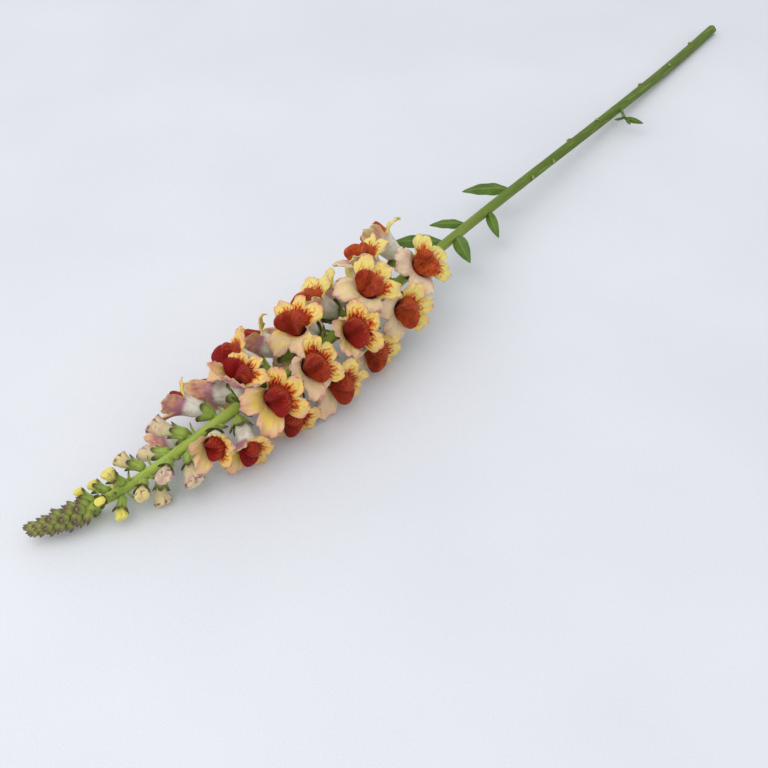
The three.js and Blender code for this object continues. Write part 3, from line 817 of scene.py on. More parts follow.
def fine_floret(i):
    """Rings of one open corolla and their attributes, row by row from base to throat."""
    bend_of = spots["opened"][i], spots["raised"][i]
    phase = 2 * np.pi * scatter(i, 8)
    angle = AROUND[None, :]
    along = np.linspace(0.03, 1, TUBE_ROWS)[:, None]
    tube_part = tube(angle, along)
    tube_part = tube_part - unit(tube_part * [0, 1, 1]) * ribs(angle, along)[..., None]
    out = np.append(np.arange(1, LIP_ROWS) / LIP_ROWS, [0.985])[:, None]
    reach = lip_reach(angle) * frill(angle, phase)
    middle = LIP_THICKNESS / 2
    thin = lerp(middle, PETAL_THICKNESS / 2, smooth(0, 0.35, out))
    bend = warp(angle, out, phase)
    back_part = lip(angle, reach * out, *bend_of, middle - thin - bend)
    edge_part = lip(angle, reach, *bend_of, middle - warp(angle, 1.0, phase))
    front_part = lip(angle, reach * out, *bend_of, middle + thin - bend)[::-1]
    down = (np.arange(PALATE_ROWS) / PALATE_ROWS)[:, None]
    palate_part = palate(angle + 0 * down, down + 0 * angle, *bend_of)
    palate_part[..., 0] -= furrow_depth(palate_part[..., 1], angle, down)
    palate_part[..., 0] += creases(angle, down, phase)
    rings = np.concatenate([tube_part, back_part, edge_part, front_part, palate_part])
    shares = np.concatenate([along - 1, out, [[1]], out[::-1], -down])
    inside = np.concatenate([0 * along, 0 * out, [[0.5]], 1 + 0 * out, 1 + 0 * down])
    return rings, triples(shares, inside, np.abs(angle) / 180)


pieces = {}
for number in range(1, FLORET_COUNT + 1):
    index = BUD_COUNT + number - 1
    rings, petal_parts = fine_floret(index)
    age = (number - 1) / (FLORET_COUNT - 1)
    flower = triples(age, scatter(index, 9), 0 * petal_parts[..., 0])
    size = spots["size"][index]
    ends = in_place(np.stack([np.zeros(3), THROAT]), index, size)[:, None]
    piece = make_piece(
        f"corolla_{number:02d}", in_place(rings, index, size)[None], ends[0], ends[1], petal,
        petal=(petal_parts[None], np.array([[-1, 0, 0]]), np.array([[-1, 1, 0]])),
        flower=(flower[None], flower[:1, 0], flower[:1, 0]))
    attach(piece, "root")
    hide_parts(f"floret_{number:02d}")
    pieces[piece.name] = piece
print(FLORET_COUNT, "florets with", triangles(piece), "triangles each")


# %% Do the fine florets lie where the solids do?
def off_centre(piece, node):
    """Distance in mm between the middles of a piece's box and of a node's box."""
    corners = np.array([corner[:] for corner in piece.bound_box])
    low, high = (np.array(corner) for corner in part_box(node))
    return float(np.linalg.norm(corners.min(0) + corners.max(0) - low - high)) / 2 / MM


offsets = [off_centre(pieces[f"corolla_{number:02d}"], f"floret_{number:02d}")
           for number in range(1, FLORET_COUNT + 1)]
print("the middles of piece and solid differ by", round(max(offsets), 2), "mm at most")

# %% [markdown]
# ## Buds
# A shut bud is a pale tube that widens to a blunt end, where the upper lip folds down over the lower
# one. That end has a rolled brim, maroon on the older buds, and a groove where the lips meet. The small
# buds near the tip are rounder and plain yellow, and the larger ones turn from olive to cream and pink.
# One formula makes all fourteen, with the bud's growth as the only difference.

# %% Bud paint
BUD_GREEN = rgb(190, 200, 96)
BUD_YELLOW = rgb(226, 214, 92)
BUD_PALE = rgb(212, 212, 158)
BUD_CREAM = rgb(218, 200, 152)
BUD_PINK = rgb(188, 138, 148)
MAROON = rgb(112, 48, 60)
BUD_RELIEF = 0.00012


def bud_paint():
    """Yellow-green on small buds; on large ones cream, flushed with mauve towards the end. The brim
    and the groove between the lips are maroon."""
    paint = Paint("bud_petal", Roughness=0.58, Subsurface_Weight=0.2, Subsurface_Radius=(1.0, 0.6, 0.3),
                  Subsurface_Scale=0.0012, Sheen_Weight=0.15)
    share, seam, _ = paint.parts("petal")
    grown, seed, _ = paint.parts("flower")
    blotch = paint.noise(320.0)
    speck = paint.noise(1300.0, 3.0)
    young = paint.mix(share.rising(0.3, 0.9), BUD_GREEN, BUD_YELLOW)
    old = paint.mix(share.rising(0.25, 0.7), BUD_PALE, BUD_CREAM)
    flush = blotch.rising(0.4, 0.62) * share.rising(0.4, 0.9) * (0.5 + seed * 0.5)
    old = paint.mix(flush.clamped(), old, BUD_PINK)
    colour = paint.mix(grown.rising(0.2, 0.85), young, old)
    brim = seam.rising(0.35, 0.95) * grown.rising(0.15, 0.6) * 0.85
    colour = paint.mix(brim.clamped(), colour, MAROON)
    return paint.finish(colour, speck + blotch * 0.5, BUD_RELIEF)


bud_petal = bud_paint()
print("bud paint:", len(bud_petal.node_tree.nodes), "nodes")

# %% Fine buds
BUD_ROWS = 40
BUD_COLUMNS = 64
BUD_DOME = 0.22
BRIM_PLACE = 0.9


def dome(i):
    """How far the blunt end of bud i is pushed out: a share of its reach that falls with its age."""
    return BUD_DOME * (1 - i / BUD_COUNT) * spots["reach"][i]


def fine_bud(i):
    """Rings of a shut corolla: the bud's own form, with grooves where the lips meet, a cleft on top and
    a wavy brim. The rings lie closer together towards the end, which is pushed out to a low dome."""
    angle = (180 - np.arange(BUD_COLUMNS) * 360 / BUD_COLUMNS)[None, :]
    share = (1 - (1 - np.linspace(0.02, 1, BUD_ROWS, endpoint=False)) ** 1.25)[:, None]
    rings = bud_point(angle, share, spots["reach"][i], spots["radius"][i])
    a = np.abs(angle)
    late = smooth(0.55, 0.8, share)
    between_lips = np.exp(-(((a - 98) / 8) ** 2)) * late
    cleft = np.exp(-((a / 9) ** 2)) * smooth(0.7, 0.88, share)
    brim = np.exp(-(((share - BRIM_PLACE) / 0.045) ** 2))
    brim = brim * (0.35 + 0.65 * np.abs(np.cos(np.radians(angle))))
    waves = 1 + 0.4 * np.sin(np.radians(angle) * 7 + i)
    relief = (0.13 * brim * waves - 0.15 * between_lips - 0.12 * cleft) * spots["radius"][i]
    rings[..., 0] += dome(i) * smooth(0.82, 1, share) ** 2
    ray = unit(rings * [0, 1, 1] + [0, 0, 1e-9])
    seam = np.clip(0.7 * between_lips + brim * waves + 0.5 * cleft, 0, 1)
    fading = 1 - smooth(0.93, 1, share)
    return rings + ray * (relief * fading)[..., None], triples(share, seam, a / 180)


for number in range(1, BUD_COUNT + 1):
    index = number - 1
    rings, petal_parts = fine_bud(index)
    flower = triples(index / (BUD_COUNT - 1), scatter(index, 9), 0 * petal_parts[..., 0])
    tip = bud_point(np.array(0.0), np.array(1.0), spots["reach"][index], spots["radius"][index])
    ends = in_place(np.stack([np.zeros(3), tip + [dome(index), 0, 0]]), index)[:, None]
    piece = make_piece(
        f"closed_corolla_{number:02d}", in_place(rings, index)[None], ends[0], ends[1], bud_petal,
        petal=(petal_parts[None], np.array([[0, 0, 0]]), np.array([[1, 0, 0]])),
        flower=(flower[None], flower[:1, 0], flower[:1, 0]))
    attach(piece, "root")
    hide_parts(f"bud_{number:02d}")
    pieces[piece.name] = piece
offsets = [off_centre(pieces[f"closed_corolla_{number:02d}"], f"bud_{number:02d}")
           for number in range(1, BUD_COUNT + 1)]
print(BUD_COUNT, "buds with", triangles(piece), "triangles each, off the solids by",
      round(max(offsets), 2), "mm")

# %% [markdown]
# ## Green paint
# Stem, stalks, calyces and leaves are the same living tissue in other shades. The stem is bright yellow
# green in the spike and deeper green below. Every sepal ends in a dark purplish brown tip, which gives
# the cone its scaly look. One function paints sepals, bracts, cone and stubs, and only its colours
# differ. On most green pieces the attribute "leaf" says how far towards its tip a point is, and how far
# from the midrib. On the stem it says how far down a point is, and whether it lies on the cut face.

# %% Paints for the green parts
STEM_BRIGHT = rgb(164, 182, 78)
STEM_DEEP = rgb(80, 102, 10)
# Painted shade and painted highlight for the stem's ridges, mixed with its own streaks; pale specks of
# painted highlight.
STEM_SHADE_STREAK = rgb(104, 136, 44)
STEM_HIGHLIGHT_STREAK = rgb(158, 176, 84)
STEM_HIGHLIGHT_SPECK = rgb(180, 192, 112)
PITH = rgb(196, 204, 150)
SEPAL_GREEN = rgb(142, 162, 72)
SEPAL_TIP = rgb(84, 58, 48)
CONE_GREEN = rgb(150, 162, 80)
CONE_TIP = rgb(114, 88, 80)
SEPAL_LIGHT = rgb(160, 180, 80)
SEPAL_RIB = rgb(172, 192, 100)
LEAF_DEEP = rgb(66, 98, 16)
LEAF_LIGHT = rgb(90, 120, 32)
LEAF_VEIN = rgb(138, 160, 74)
STUB_GREEN = rgb(96, 116, 30)
STUB_DRY = rgb(168, 160, 110)
STEM_RELIEF = 0.00015
SEPAL_RELIEF = 0.00012
LEAF_RELIEF = 0.0003


def stem_paint():
    """Bright green towards the tip and deep green towards the cut. Dark and pale streaks run along it
    where
    the noise is high or low: partly the stem's own streaking, partly painted shade and painted
    highlight on its ridges. Small pale specks are painted highlights. The cut face is pale pith."""
    paint = Paint("stem_skin", Roughness=0.55, Specular_IOR_Level=0.3, Subsurface_Weight=0.1,
                  Subsurface_Radius=(0.6, 1.0, 0.3), Subsurface_Scale=0.001)
    down, pith, _ = paint.parts("leaf")
    streaks_and_ridge_light = paint.noise(420.0, 3.0, stretch=(0.05, 1, 1))
    speck = paint.noise(1500.0)
    colour = paint.mix(down.rising(0.2, 0.62), STEM_BRIGHT, STEM_DEEP)
    # Dark and pale streaks: partly the stem's own streaking, partly painted shade and painted highlight
    # on its ridges. Then pale specks of painted highlight.
    colour = paint.mix((streaks_and_ridge_light.rising(0.45, 0.7) * 0.5).clamped(), colour, STEM_SHADE_STREAK)
    colour = paint.mix((streaks_and_ridge_light.rising(0.5, 0.3) * 0.35).clamped(), colour, STEM_HIGHLIGHT_STREAK)
    colour = paint.mix((speck.rising(0.6, 0.75) * 0.25).clamped(), colour, STEM_HIGHLIGHT_SPECK)
    colour = paint.mix(pith.rising(0.45, 0.55), colour, PITH)
    return paint.finish(colour, streaks_and_ridge_light + speck * 0.4, STEM_RELIEF)


def sepal_paint(name, tip_start, tip_end, green, dark):
    """Green with a paler rib, turning dark between two shares of the way to the sepal's tip."""
    paint = Paint(name, Roughness=0.6, Specular_IOR_Level=0.3, Subsurface_Weight=0.1,
                  Subsurface_Radius=(0.6, 1.0, 0.3), Subsurface_Scale=0.0008)
    share, _, across = paint.parts("leaf")
    blotch = paint.noise(500.0)
    speck = paint.noise(1600.0)
    colour = paint.mix((blotch.rising(0.35, 0.7) * 0.6).clamped(), green, SEPAL_LIGHT)
    colour = paint.mix((across.rising(0.25, 0.0) * 0.3).clamped(), colour, SEPAL_RIB)
    tip = (share + (blotch - 0.5) * 0.25).rising(tip_start, tip_end)
    colour = paint.mix((tip * 0.9).clamped(), colour, dark)
    return paint.finish(colour, speck + blotch, SEPAL_RELIEF)


def leaf_paint():
    """Deep green, with a pale midrib and faint side veins that run forward from it."""
    paint = Paint("leaf_green", Roughness=0.5, Specular_IOR_Level=0.35, Subsurface_Weight=0.1,
                  Subsurface_Radius=(0.6, 1.0, 0.3), Subsurface_Scale=0.0008)
    share, _, across = paint.parts("leaf")
    side_veins = (share * 95.0 - across * 16.0).sine().rising(0.5, 1.0) * 0.3
    midrib = across.rising(0.16, 0.04) * 0.5
    colour = paint.mix(paint.noise(150.0).rising(0.3, 0.7), LEAF_DEEP, LEAF_LIGHT)
    colour = paint.mix((side_veins + midrib).clamped(), colour, LEAF_VEIN)
    return paint.finish(colour, side_veins + midrib, LEAF_RELIEF)


stem_skin = stem_paint()
sepal = sepal_paint("sepal", 0.5, 0.9, SEPAL_GREEN, SEPAL_TIP)
cone_sepal = sepal_paint("cone_sepal", 0.45, 0.9, CONE_GREEN, CONE_TIP)
leaf_green = leaf_paint()
stub = sepal_paint("stub", 0.5, 0.9, STUB_GREEN, STUB_DRY)
print("green paints:", [paint.name for paint in (stem_skin, sepal, cone_sepal, leaf_green, stub)])

# %% [markdown]
# ## The stem
# The real stem is nearly round, faintly ridged below each leaf, and it was cut straight across. The
# solid has seven flat sides, so a circle just inside its corners fits it best. The rings are carried
# along the stem's line. Three more rings turn in over the cut end and make its face, which is dished.

# %% The stem
STEM_RINGS = 260
STEM_COLUMNS = 40
ROUND_SHARE = 0.965
RIDGE_COUNT = 5
RIDGE_HEIGHT = 0.035
RIDGE_TWIST = 0.009
CUT_RINGS = [0.93, 0.6, 0.3]
CUT_DISH = 0.25
CUT_MIDDLE = 0.3


def rings_along(distance, radius, columns):
    """Circles round the stem's line: one ring a distance, each point outwards at its angle."""
    angle = -np.arange(columns) * 360 / columns
    out = outwards(distance[:, None] + 0 * angle, angle + 0 * distance[:, None])
    return axis(distance)[:, None] + out * radius[..., None]


distance = np.linspace(STEM_START, STEM_LENGTH, STEM_RINGS)
distance = np.append(distance, np.full(len(CUT_RINGS), STEM_LENGTH))
ridge_turn = RIDGE_COUNT * np.arange(STEM_COLUMNS) * 2 * np.pi / STEM_COLUMNS
ridges = np.sin(ridge_turn + distance[:, None] * RIDGE_TWIST) * smooth(60, 160, distance)[:, None]
ridges = 1 + RIDGE_HEIGHT * ridges
face = np.append(np.ones(STEM_RINGS), CUT_RINGS)
radius = (stem_radius(distance) * ROUND_SHARE * face)[:, None] * ridges
rings = rings_along(distance, radius, STEM_COLUMNS)
rings[-2:, :, 0] -= CUT_DISH
down = triples(distance[:, None] / STEM_LENGTH, (face < 1)[:, None], 0 * ridges)
cut_middle = axis([STEM_LENGTH]) - [[CUT_MIDDLE, 0, 0]]
stem = make_piece("stem", rings[None], axis([STEM_START]), cut_middle, stem_skin,
                  leaf=(down[None], np.array([[0, 0, 0]]), np.array([[1, 1, 0]])))
pieces["stem"] = stem
print("stem:", triangles(stem), "triangles")

# %% [markdown]
# ## Stalks and calyces
# Each corolla stands in a calyx, a green cup that parts into five blunt sepals, on a short stalk. They
# all follow one recipe, so all 38 are made in one array: a curved stalk, then the cup's outside up to
# its lobed edge, and back down on the inside. The edge is a formula of the angle, high at the five
# tips and low between them. The cup's radius follows the radius of the corolla that it holds.

# %% How wide the calyces are
CUP_SHARE = 0.92


def corolla_radius(along):
    """Largest radius of each corolla at a distance up its tube, for (place, row, column) arrays."""
    def each(values):
        return values[:, None, None]
    reach, size = each(spots["reach"]), each(spots["size"])
    bud = each(spots["radius"]) * (0.5 + 0.58 * smooth(0.15, 0.85, along / reach))
    share = np.clip(along / (size * (TUBE_LENGTH + LOWER_REACH)), 0.01, 1)
    sides = np.abs(tube(np.full_like(share, 90), share)[..., 1])
    pouch = np.abs(tube(np.full_like(share, 180), share)[..., 2])
    return np.where(each(spots["is_bud"]), bud, size * np.maximum(sides, pouch))


def calyx_sizes():
    """A calyx has the size of its bud, or a share of the size of its open floret."""
    return np.where(spots["is_bud"], spots["size"], CUP_SHARE * spots["size"])


held = corolla_radius(np.full((PLACES, 1, 1), 5.0))
print("5 mm up their tubes the corollas have radii of", round(float(held.min()), 1), "to",
      round(float(held.max()), 1), "mm")

# %% Stalks and calyces
CALYX_COLUMNS = 50
CUP_ROWS = 13
CUP_INNER_ROWS = 8
CUP_FOOT = -2.5
STALK_SHARE = 0.12
SEPAL_COUNT = 5
SEPAL_TIPS = 7.6
SEPAL_NOTCHES = 3.0


def lobed(columns, tips):
    """For each column: its angle in degrees, and its offset from the nearest sepal tip, -1 to 1."""
    angle = -np.arange(columns) * 360 / columns
    pitch = 360 / tips
    return angle, ((angle + pitch / 2) % pitch - pitch / 2) * 2 / pitch


def stalk_rings():
    """Circles along a curve through the stem, the stalk's waist and the foot of the calyx, and how far
    towards the sepal tips each one counts for the paint."""
    angle = np.radians(-np.arange(CALYX_COLUMNS) * 360 / CALYX_COLUMNS)
    size = calyx_sizes()[:, None]
    turn, foot = spots["turn"], spots["foot"]
    ahead = turn[:, :, 0]
    start = axis(spots["distance"])
    waist = lerp(start, foot, 0.54) - 0.4 * ahead
    cup_foot = foot + CUP_FOOT * size * ahead
    t = np.linspace(0, 1, 9)[:, None]
    centre = (start[:, None] * (2 * t - 1) * (t - 1) + waist[:, None] * 4 * t * (1 - t)
              + cup_foot[:, None] * t * (2 * t - 1))
    radius = size * (1.1 + 0.5 * smooth(0.6, 1, t[:, 0]) + 0.35 * smooth(0.45, 0, t[:, 0]))
    ray = np.einsum("nij,cj->nci", turn, np.stack([0 * angle, np.sin(angle), np.cos(angle)], -1))
    return centre[:, :, None] + ray[:, None] * radius[..., None, None], STALK_SHARE * t[:, 0]


def cup_rings():
    """The cup's outside from its foot to the lobed edge, one ring on the edge, and its inside back
    down. It is as wide as the corolla in it, flares a little, and has a keel along each sepal."""
    angle, offset = lobed(CALYX_COLUMNS, SEPAL_COUNT)
    size = calyx_sizes()[:, None, None]
    lobes = (1 - np.abs(offset) ** 1.9) ** 0.8
    outer_rows, inner_rows = np.linspace(0.08, 1, CUP_ROWS), np.linspace(0.98, 0.15, CUP_INNER_ROWS)
    up = np.concatenate([outer_rows, [1.02], inner_rows])[:, None]
    is_inner = np.concatenate([0 * outer_rows, [0.5], 1 + 0 * inner_rows])[:, None]
    top = SEPAL_NOTCHES + (SEPAL_TIPS - SEPAL_NOTCHES) * lobes
    along = size * lerp(CUP_FOOT, top, np.minimum(up, 1) ** 0.85)
    wall = corolla_radius(np.maximum(0, along)) + 0.3
    flare = 0.7 * smooth(0.35, 1, along / (size * SEPAL_TIPS)) * size
    thick = size * lerp(0.8, 0.4, np.minimum(up, 1))
    keel = 0.28 * size * (1 - np.abs(offset)) * smooth(0.2, 0.6, up)
    fold = 0.22 * np.abs(offset) ** 6 * smooth(0.2, 0.5, up)
    outer = lerp(1.6 * size, wall + flare + thick + keel - fold, smooth(-2.6, -0.3, along / size))
    inner = wall + flare
    radius = lerp(outer, inner, is_inner)
    turn = np.radians(angle)
    local = np.stack([along, radius * np.sin(turn), radius * np.cos(turn)], -1)
    placed = np.einsum("nij,nrcj->nrci", spots["turn"], local) + spots["foot"][:, None, None]
    share = np.clip(along / (size * SEPAL_TIPS), STALK_SHARE, 1)
    return placed, triples(share, is_inner, np.abs(offset))


stalks, stalk_share = stalk_rings()
cups, cup_parts = cup_rings()
stalk_parts = triples(stalk_share[None, :, None], 0, np.zeros((PLACES, 1, CALYX_COLUMNS)) + 1)
ahead = spots["turn"][:, :, 0]
nothing = np.zeros((PLACES, 3))
calyces = make_piece(
    "calyces", np.concatenate([stalks, cups], 1), axis(spots["distance"]), spots["foot"] - 0.2 * ahead,
    sepal, leaf=(np.concatenate([stalk_parts, cup_parts], 1), nothing, nothing))
pieces["calyces"] = calyces
print(PLACES, "stalks and calyces:", triangles(calyces), "triangles")

# %% [markdown]
# ## The cone at the tip
# Above the first buds the spike is a dense cone of calyces that are still shut over flowers too small
# to see. They stand on the stem in the same golden spiral, smaller and more upright towards the tip.
# Each one is a small closed cup with five points, made as one array as before.

# %% The cone at the tip
SCALE_COUNT = 30
SCALE_START = 3.5
SCALE_END = 29
SCALE_COLUMNS = 40
SCALE_ROWS = 12
SCALE_NOTCHES = 4.3
SCALE_RISE = 2.1
SCALE_RADIUS = 2.12
SCALE_MIDDLE = 5.1


def tip_scales():
    """Rings, first points, last points and attributes of the shut calyces: each swells from its foot
    as a quarter ellipse, closes a little towards five tips, and turns in over a small dome."""
    index = np.arange(SCALE_COUNT)
    share = (index + 0.5) / SCALE_COUNT
    distance = lerp(SCALE_START, SCALE_END, share ** 1.1)
    size = lerp(0.95, 1.25, smooth(0, 0.6, share))[:, None, None]
    lean = lerp(26, 54, smooth(0, 0.9, share))
    spiral = GOLDEN_ANGLE * index
    ahead, side, top = leaning(distance, spiral, lean)
    foot = axis(distance) + outwards(distance, spiral) * 0.3 * stem_radius(distance)[:, None]
    angle, offset = lobed(SCALE_COLUMNS, SEPAL_COUNT)
    lobes = (1 - np.abs(offset) ** 1.9) ** 0.85
    up = np.concatenate([np.linspace(0.07, 1, SCALE_ROWS), [0.9, 0.72, 0.6]])[:, None]
    is_inner = np.concatenate([np.zeros(SCALE_ROWS), np.ones(3)])[:, None]
    edge = SCALE_NOTCHES + SCALE_RISE * lobes
    along = up * edge * (1 - is_inner) + is_inner * lerp(5.0, edge, (up - 0.55) / 0.45)
    swell = np.sqrt(np.clip(1 - (1 - np.minimum(along / 2.8, 1)) ** 2, 0, 1))
    closing = 1 - 0.34 * smooth(3.2, 6.6, along)
    keel = 0.07 * (1 - np.abs(offset)) * smooth(0.2, 0.6, up)
    fold = 0.1 * np.abs(offset) ** 6 * smooth(0.25, 0.6, up)
    inwards = 1 - is_inner * (0.2 + 0.75 * (1 - up) ** 0.6)
    radius = SCALE_RADIUS * swell * closing * (1 + keel - fold) * inwards
    turn = np.radians(angle + 180)
    along, radius = along * size, radius * size
    local = np.stack([along, radius * np.sin(turn), 0.85 * radius * np.cos(turn)], -1)
    frames = np.stack([ahead, side, top], -1)
    rings = np.einsum("nij,nrcj->nrci", frames, local) + foot[:, None, None]
    share = along / size / (SCALE_NOTCHES + SCALE_RISE)
    parts = triples(share, is_inner, np.abs(offset) + 0 * size)
    return rings, foot, foot + ahead * SCALE_MIDDLE * size[:, 0], parts


cone_rings, first, last, parts = tip_scales()
ends = np.zeros((SCALE_COUNT, 3))
cone = make_piece("tip_calyces", cone_rings, first, last, cone_sepal,
                  leaf=(parts, ends, ends + [0.3, 1, 0]))
pieces["tip_calyces"] = cone
print(SCALE_COUNT, "shut calyces:", triangles(cone), "triangles")

# %% [markdown]
# ## Bracts, leaves and what else is blade-shaped
# A small bract stands under every stalk, a few leaves are left below the spike, a thin side shoot ends
# in three small leaves, and stubs show where leaves were stripped off. All are blades: a curved midrib
# that leaves the stem in one direction and arches over to another, and a lens-shaped section that is
# folded a little along the midrib and waves at its edges. One function makes any number of them.

# %% Blades
LEAF_THICKNESS = 0.7
BRACT_DROP = 2.5
BRACT_LENGTH = 6.5
BRACT_WIDTH = 3.4


def bezier(first, middle, last, t):
    """A quadratic Bezier curve and its direction at each t."""
    point = first * (1 - t) ** 2 + middle * 2 * t * (1 - t) + last * t ** 2
    return point, unit((middle - first) * 2 * (1 - t) + (last - middle) * 2 * t)


def blades(name, foot, ahead, droop, length, width, thickness, fold, material,
           rows=18, columns=12, wave=0.0):
    """One piece of blades. Across: half the width times sin(pi t^0.8)^0.8, a lens of the thickness, and
    edges raised by the fold. Along: the Bezier curve foot, foot + ahead / 2, and on towards droop."""
    count = len(foot)
    t = np.linspace(0.03, 0.985, rows)[None, :, None]
    length, width = (np.broadcast_to(value, count)[:, None] for value in (length, width))
    middle = foot + ahead * length * 0.5
    end = foot + ahead * length * 0.62 + droop * length * 0.38
    at, along = bezier(foot[:, None], middle[:, None], end[:, None], t)
    side = unit(np.cross(along, droop[:, None]))
    up = unit(np.cross(side, along))
    half = width[..., None] * 0.5 * np.sin(np.pi * t ** 0.8) ** 0.8
    turn = (np.arange(columns) * 2 * np.pi / columns)[None, None, :, None]
    at, side, up, half, t = (value[:, :, None] for value in (at, side, up, half, t))
    across = np.cos(turn)
    rim = wave * np.sin(t * 19 + np.sign(across)) * half * np.abs(across) ** 3
    rib = thickness * 0.25 * np.exp(-((across / 0.16) ** 2)) * np.sign(np.sin(turn))
    height = fold * half * np.abs(across) - (thickness * 0.5 * np.sin(turn) + rib) * (1 - t ** 4) + rim
    rings = at + side * half * across + up * height
    parts = triples(t[..., 0], 0, np.abs(across[..., 0]) + 0 * half[..., 0])
    nothing = np.zeros((count, 3))
    return make_piece(name, rings, foot, end, material, leaf=(parts, nothing, nothing + [1, 0, 0]))


def bract_blades():
    """Bracts stand a little below each stalk, on the side of the stem where the stalk leaves it."""
    distance = spots["distance"] + BRACT_DROP
    leaving = outwards(spots["distance"], spots["angle"])
    up, side = outwards(distance, np.zeros(PLACES)), outwards(distance, np.full(PLACES, 90.0))
    angle = np.degrees(np.arctan2((leaving * side).sum(1), (leaving * up).sum(1)))
    out, tip = outwards(distance, angle), towards_tip(distance)
    size = np.where(spots["is_bud"], spots["size"], 1.0)
    radius = stem_radius(distance)
    foot = axis(distance) + out * 0.4 * radius[:, None]
    return blades("bracts", foot, unit(out + 0.15 * tip), unit(0.6 * out - 0.8 * tip),
                  radius + BRACT_LENGTH * size, BRACT_WIDTH * size, LEAF_THICKNESS, 0.18, sepal)


pieces["bracts"] = bract_blades()
print(PLACES, "bracts:", triangles(pieces["bracts"]), "triangles")

# %% Leaves, side shoot and scars
LEAF_PLACES = np.array([307, 318, 333, 356, 388])
SHOOT_PLACE = 548
SCAR_PLACES = np.array([412, 441, 476, 513, 590, 634, 682])
SCAR_SIZE = 5.5, 3.4, 1.8
LEAF_LENGTH = 34
LEAF_WIDTH = 9
SHOOT_LENGTH = 24
SHOOT_TURNS = np.array([-46.0, 8.0, 50.0])
SHOOT_RINGS = 16
SHOOT_SIDES = 16
UPWARDS = np.array([0, 0, 1])


def leaf_blades():
    """Leaves on alternate sides, of sizes 0.75 to 1.1, that lean to the tip and droop."""
    i = np.arange(len(LEAF_PLACES))
    out = outwards(LEAF_PLACES, np.where(i % 2, -1, 1) * (58 + 40 * scatter(i, 5)))
    tip = towards_tip(LEAF_PLACES)
    size = lerp(0.75, 1.1, scatter(i, 6))
    foot = axis(LEAF_PLACES) + out * 0.3 * stem_radius(LEAF_PLACES)[:, None]
    droop = unit(0.6 * out - 0.55 * UPWARDS + 0.3 * tip)
    return blades("leaves", foot, unit(0.75 * tip + 0.66 * out), droop, LEAF_LENGTH * size,
                  LEAF_WIDTH * size, LEAF_THICKNESS, 0.2, leaf_green, rows=36, columns=28, wave=0.09)


def shoot_blades():
    """The side shoot: a straight round stalk that thins, and three leaves that fan out from its end."""
    place = np.array([float(SHOOT_PLACE)])
    out, tip, foot = outwards(place, np.array([-80.0])), towards_tip(place), axis(place)
    ahead = unit(0.82 * tip + 0.57 * out)
    side = unit(np.cross(ahead, UPWARDS))
    up = unit(np.cross(side, ahead))
    end = foot + SHOOT_LENGTH * ahead
    n = np.arange(len(SHOOT_TURNS))
    upright = np.repeat(up, len(SHOOT_TURNS), 0)
    forth = rotations(upright, np.radians(SHOOT_TURNS)) @ ahead[0]
    over = rotations(upright, np.radians(SHOOT_TURNS * 1.5)) @ ahead[0] + up * (0.3 - 0.3 * n)[:, None]
    tuft = blades("shoot_leaves", end - ahead + 0 * forth, forth, unit(over), 11 + 2 * n, 4.2,
                  LEAF_THICKNESS, 0.15, leaf_green, rows=24, columns=20, wave=0.06)
    angle = np.arange(SHOOT_SIDES) * 2 * np.pi / SHOOT_SIDES
    reach = np.linspace(0, SHOOT_LENGTH, SHOOT_RINGS)
    circle = side * np.sin(angle)[:, None] + up * np.cos(angle)[:, None]
    radius = lerp(1.2, 0.9, reach / SHOOT_LENGTH)
    rings = foot + reach[:, None, None] * ahead + circle[None] * radius[:, None, None]
    share = triples(SHOOT_PLACE / STEM_LENGTH, 0, np.zeros((1, SHOOT_RINGS, SHOOT_SIDES)))
    stalk = make_piece("shoot_stalk", rings[None], foot, end, stem_skin,
                       leaf=(share, share[:, 0, 0], share[:, -1, 0]))
    return tuft, stalk


def scar_blades():
    """Short thick stubs, each from its own side of the stem, lying along it towards the tip."""
    i = np.arange(len(SCAR_PLACES))
    out = outwards(SCAR_PLACES, 180 * scatter(i, 7) - 90)
    tip = towards_tip(SCAR_PLACES)
    foot = axis(SCAR_PLACES) + out * 0.5 * stem_radius(SCAR_PLACES)[:, None]
    return blades("leaf_scars", foot, unit(out + 0.7 * tip), tip, *SCAR_SIZE, 0.0, stub)


pieces["leaves"] = leaf_blades()
pieces["shoot_leaves"], pieces["shoot_stalk"] = shoot_blades()
pieces["leaf_scars"] = scar_blades()
for name in ("leaves", "shoot_leaves", "shoot_stalk", "leaf_scars"):
    print(name, "with", triangles(pieces[name]), "triangles")

# %% [markdown]
# ## Down
# The upper stem, the cone and the calyces are covered with fine glandular hairs under a millimetre
# long, which give them a soft pale outline. Hair objects don't survive an export, so each hair is a
# closed spike with three sides and a sunk root. Their places come from a seeded generator: distances
# and angles on the stem, and random points of the rings that the other two were made from.

# %% Down on stem, calyces and cone
STEM_HAIRS = 9000
CALYX_HAIRS = 7000
CONE_HAIRS = 2500
HAIRS_FROM = 20
HAIRS_TO = 420.0
HAIR_LENGTHS = 0.3, 0.8
HAIR_RADIUS = 0.05
HAIR_ROOT = 0.12
WALL_ROOT = 0.1
HAIR_PALE = rgb(206, 216, 168)
HAIR_GREEN = rgb(170, 190, 120)
draw = np.random.default_rng(11)


def stem_hair_roots():
    """Points just under the stem's skin, closer together towards the tip, and the directions away
    from the stem's middle."""
    distance = HAIRS_FROM + (HAIRS_TO - HAIRS_FROM) * draw.random(STEM_HAIRS) ** 1.3
    out = outwards(distance, 360 * draw.random(STEM_HAIRS))
    return axis(distance) + out * (ROUND_SHARE * stem_radius(distance) - HAIR_ROOT)[:, None], out


def wall_hair_roots(stacks, wall_rows, count):
    """Random points of the outer walls of stacks of rings, and the directions away from the middle
    of the ring that each is on."""
    limits = len(stacks), wall_rows, stacks.shape[2]
    stack, row, column = (draw.integers(0, limit, count) for limit in limits)
    point = stacks[stack, row, column]
    out = unit(point - stacks[stack, row].mean(1))
    return point - WALL_ROOT * out, out


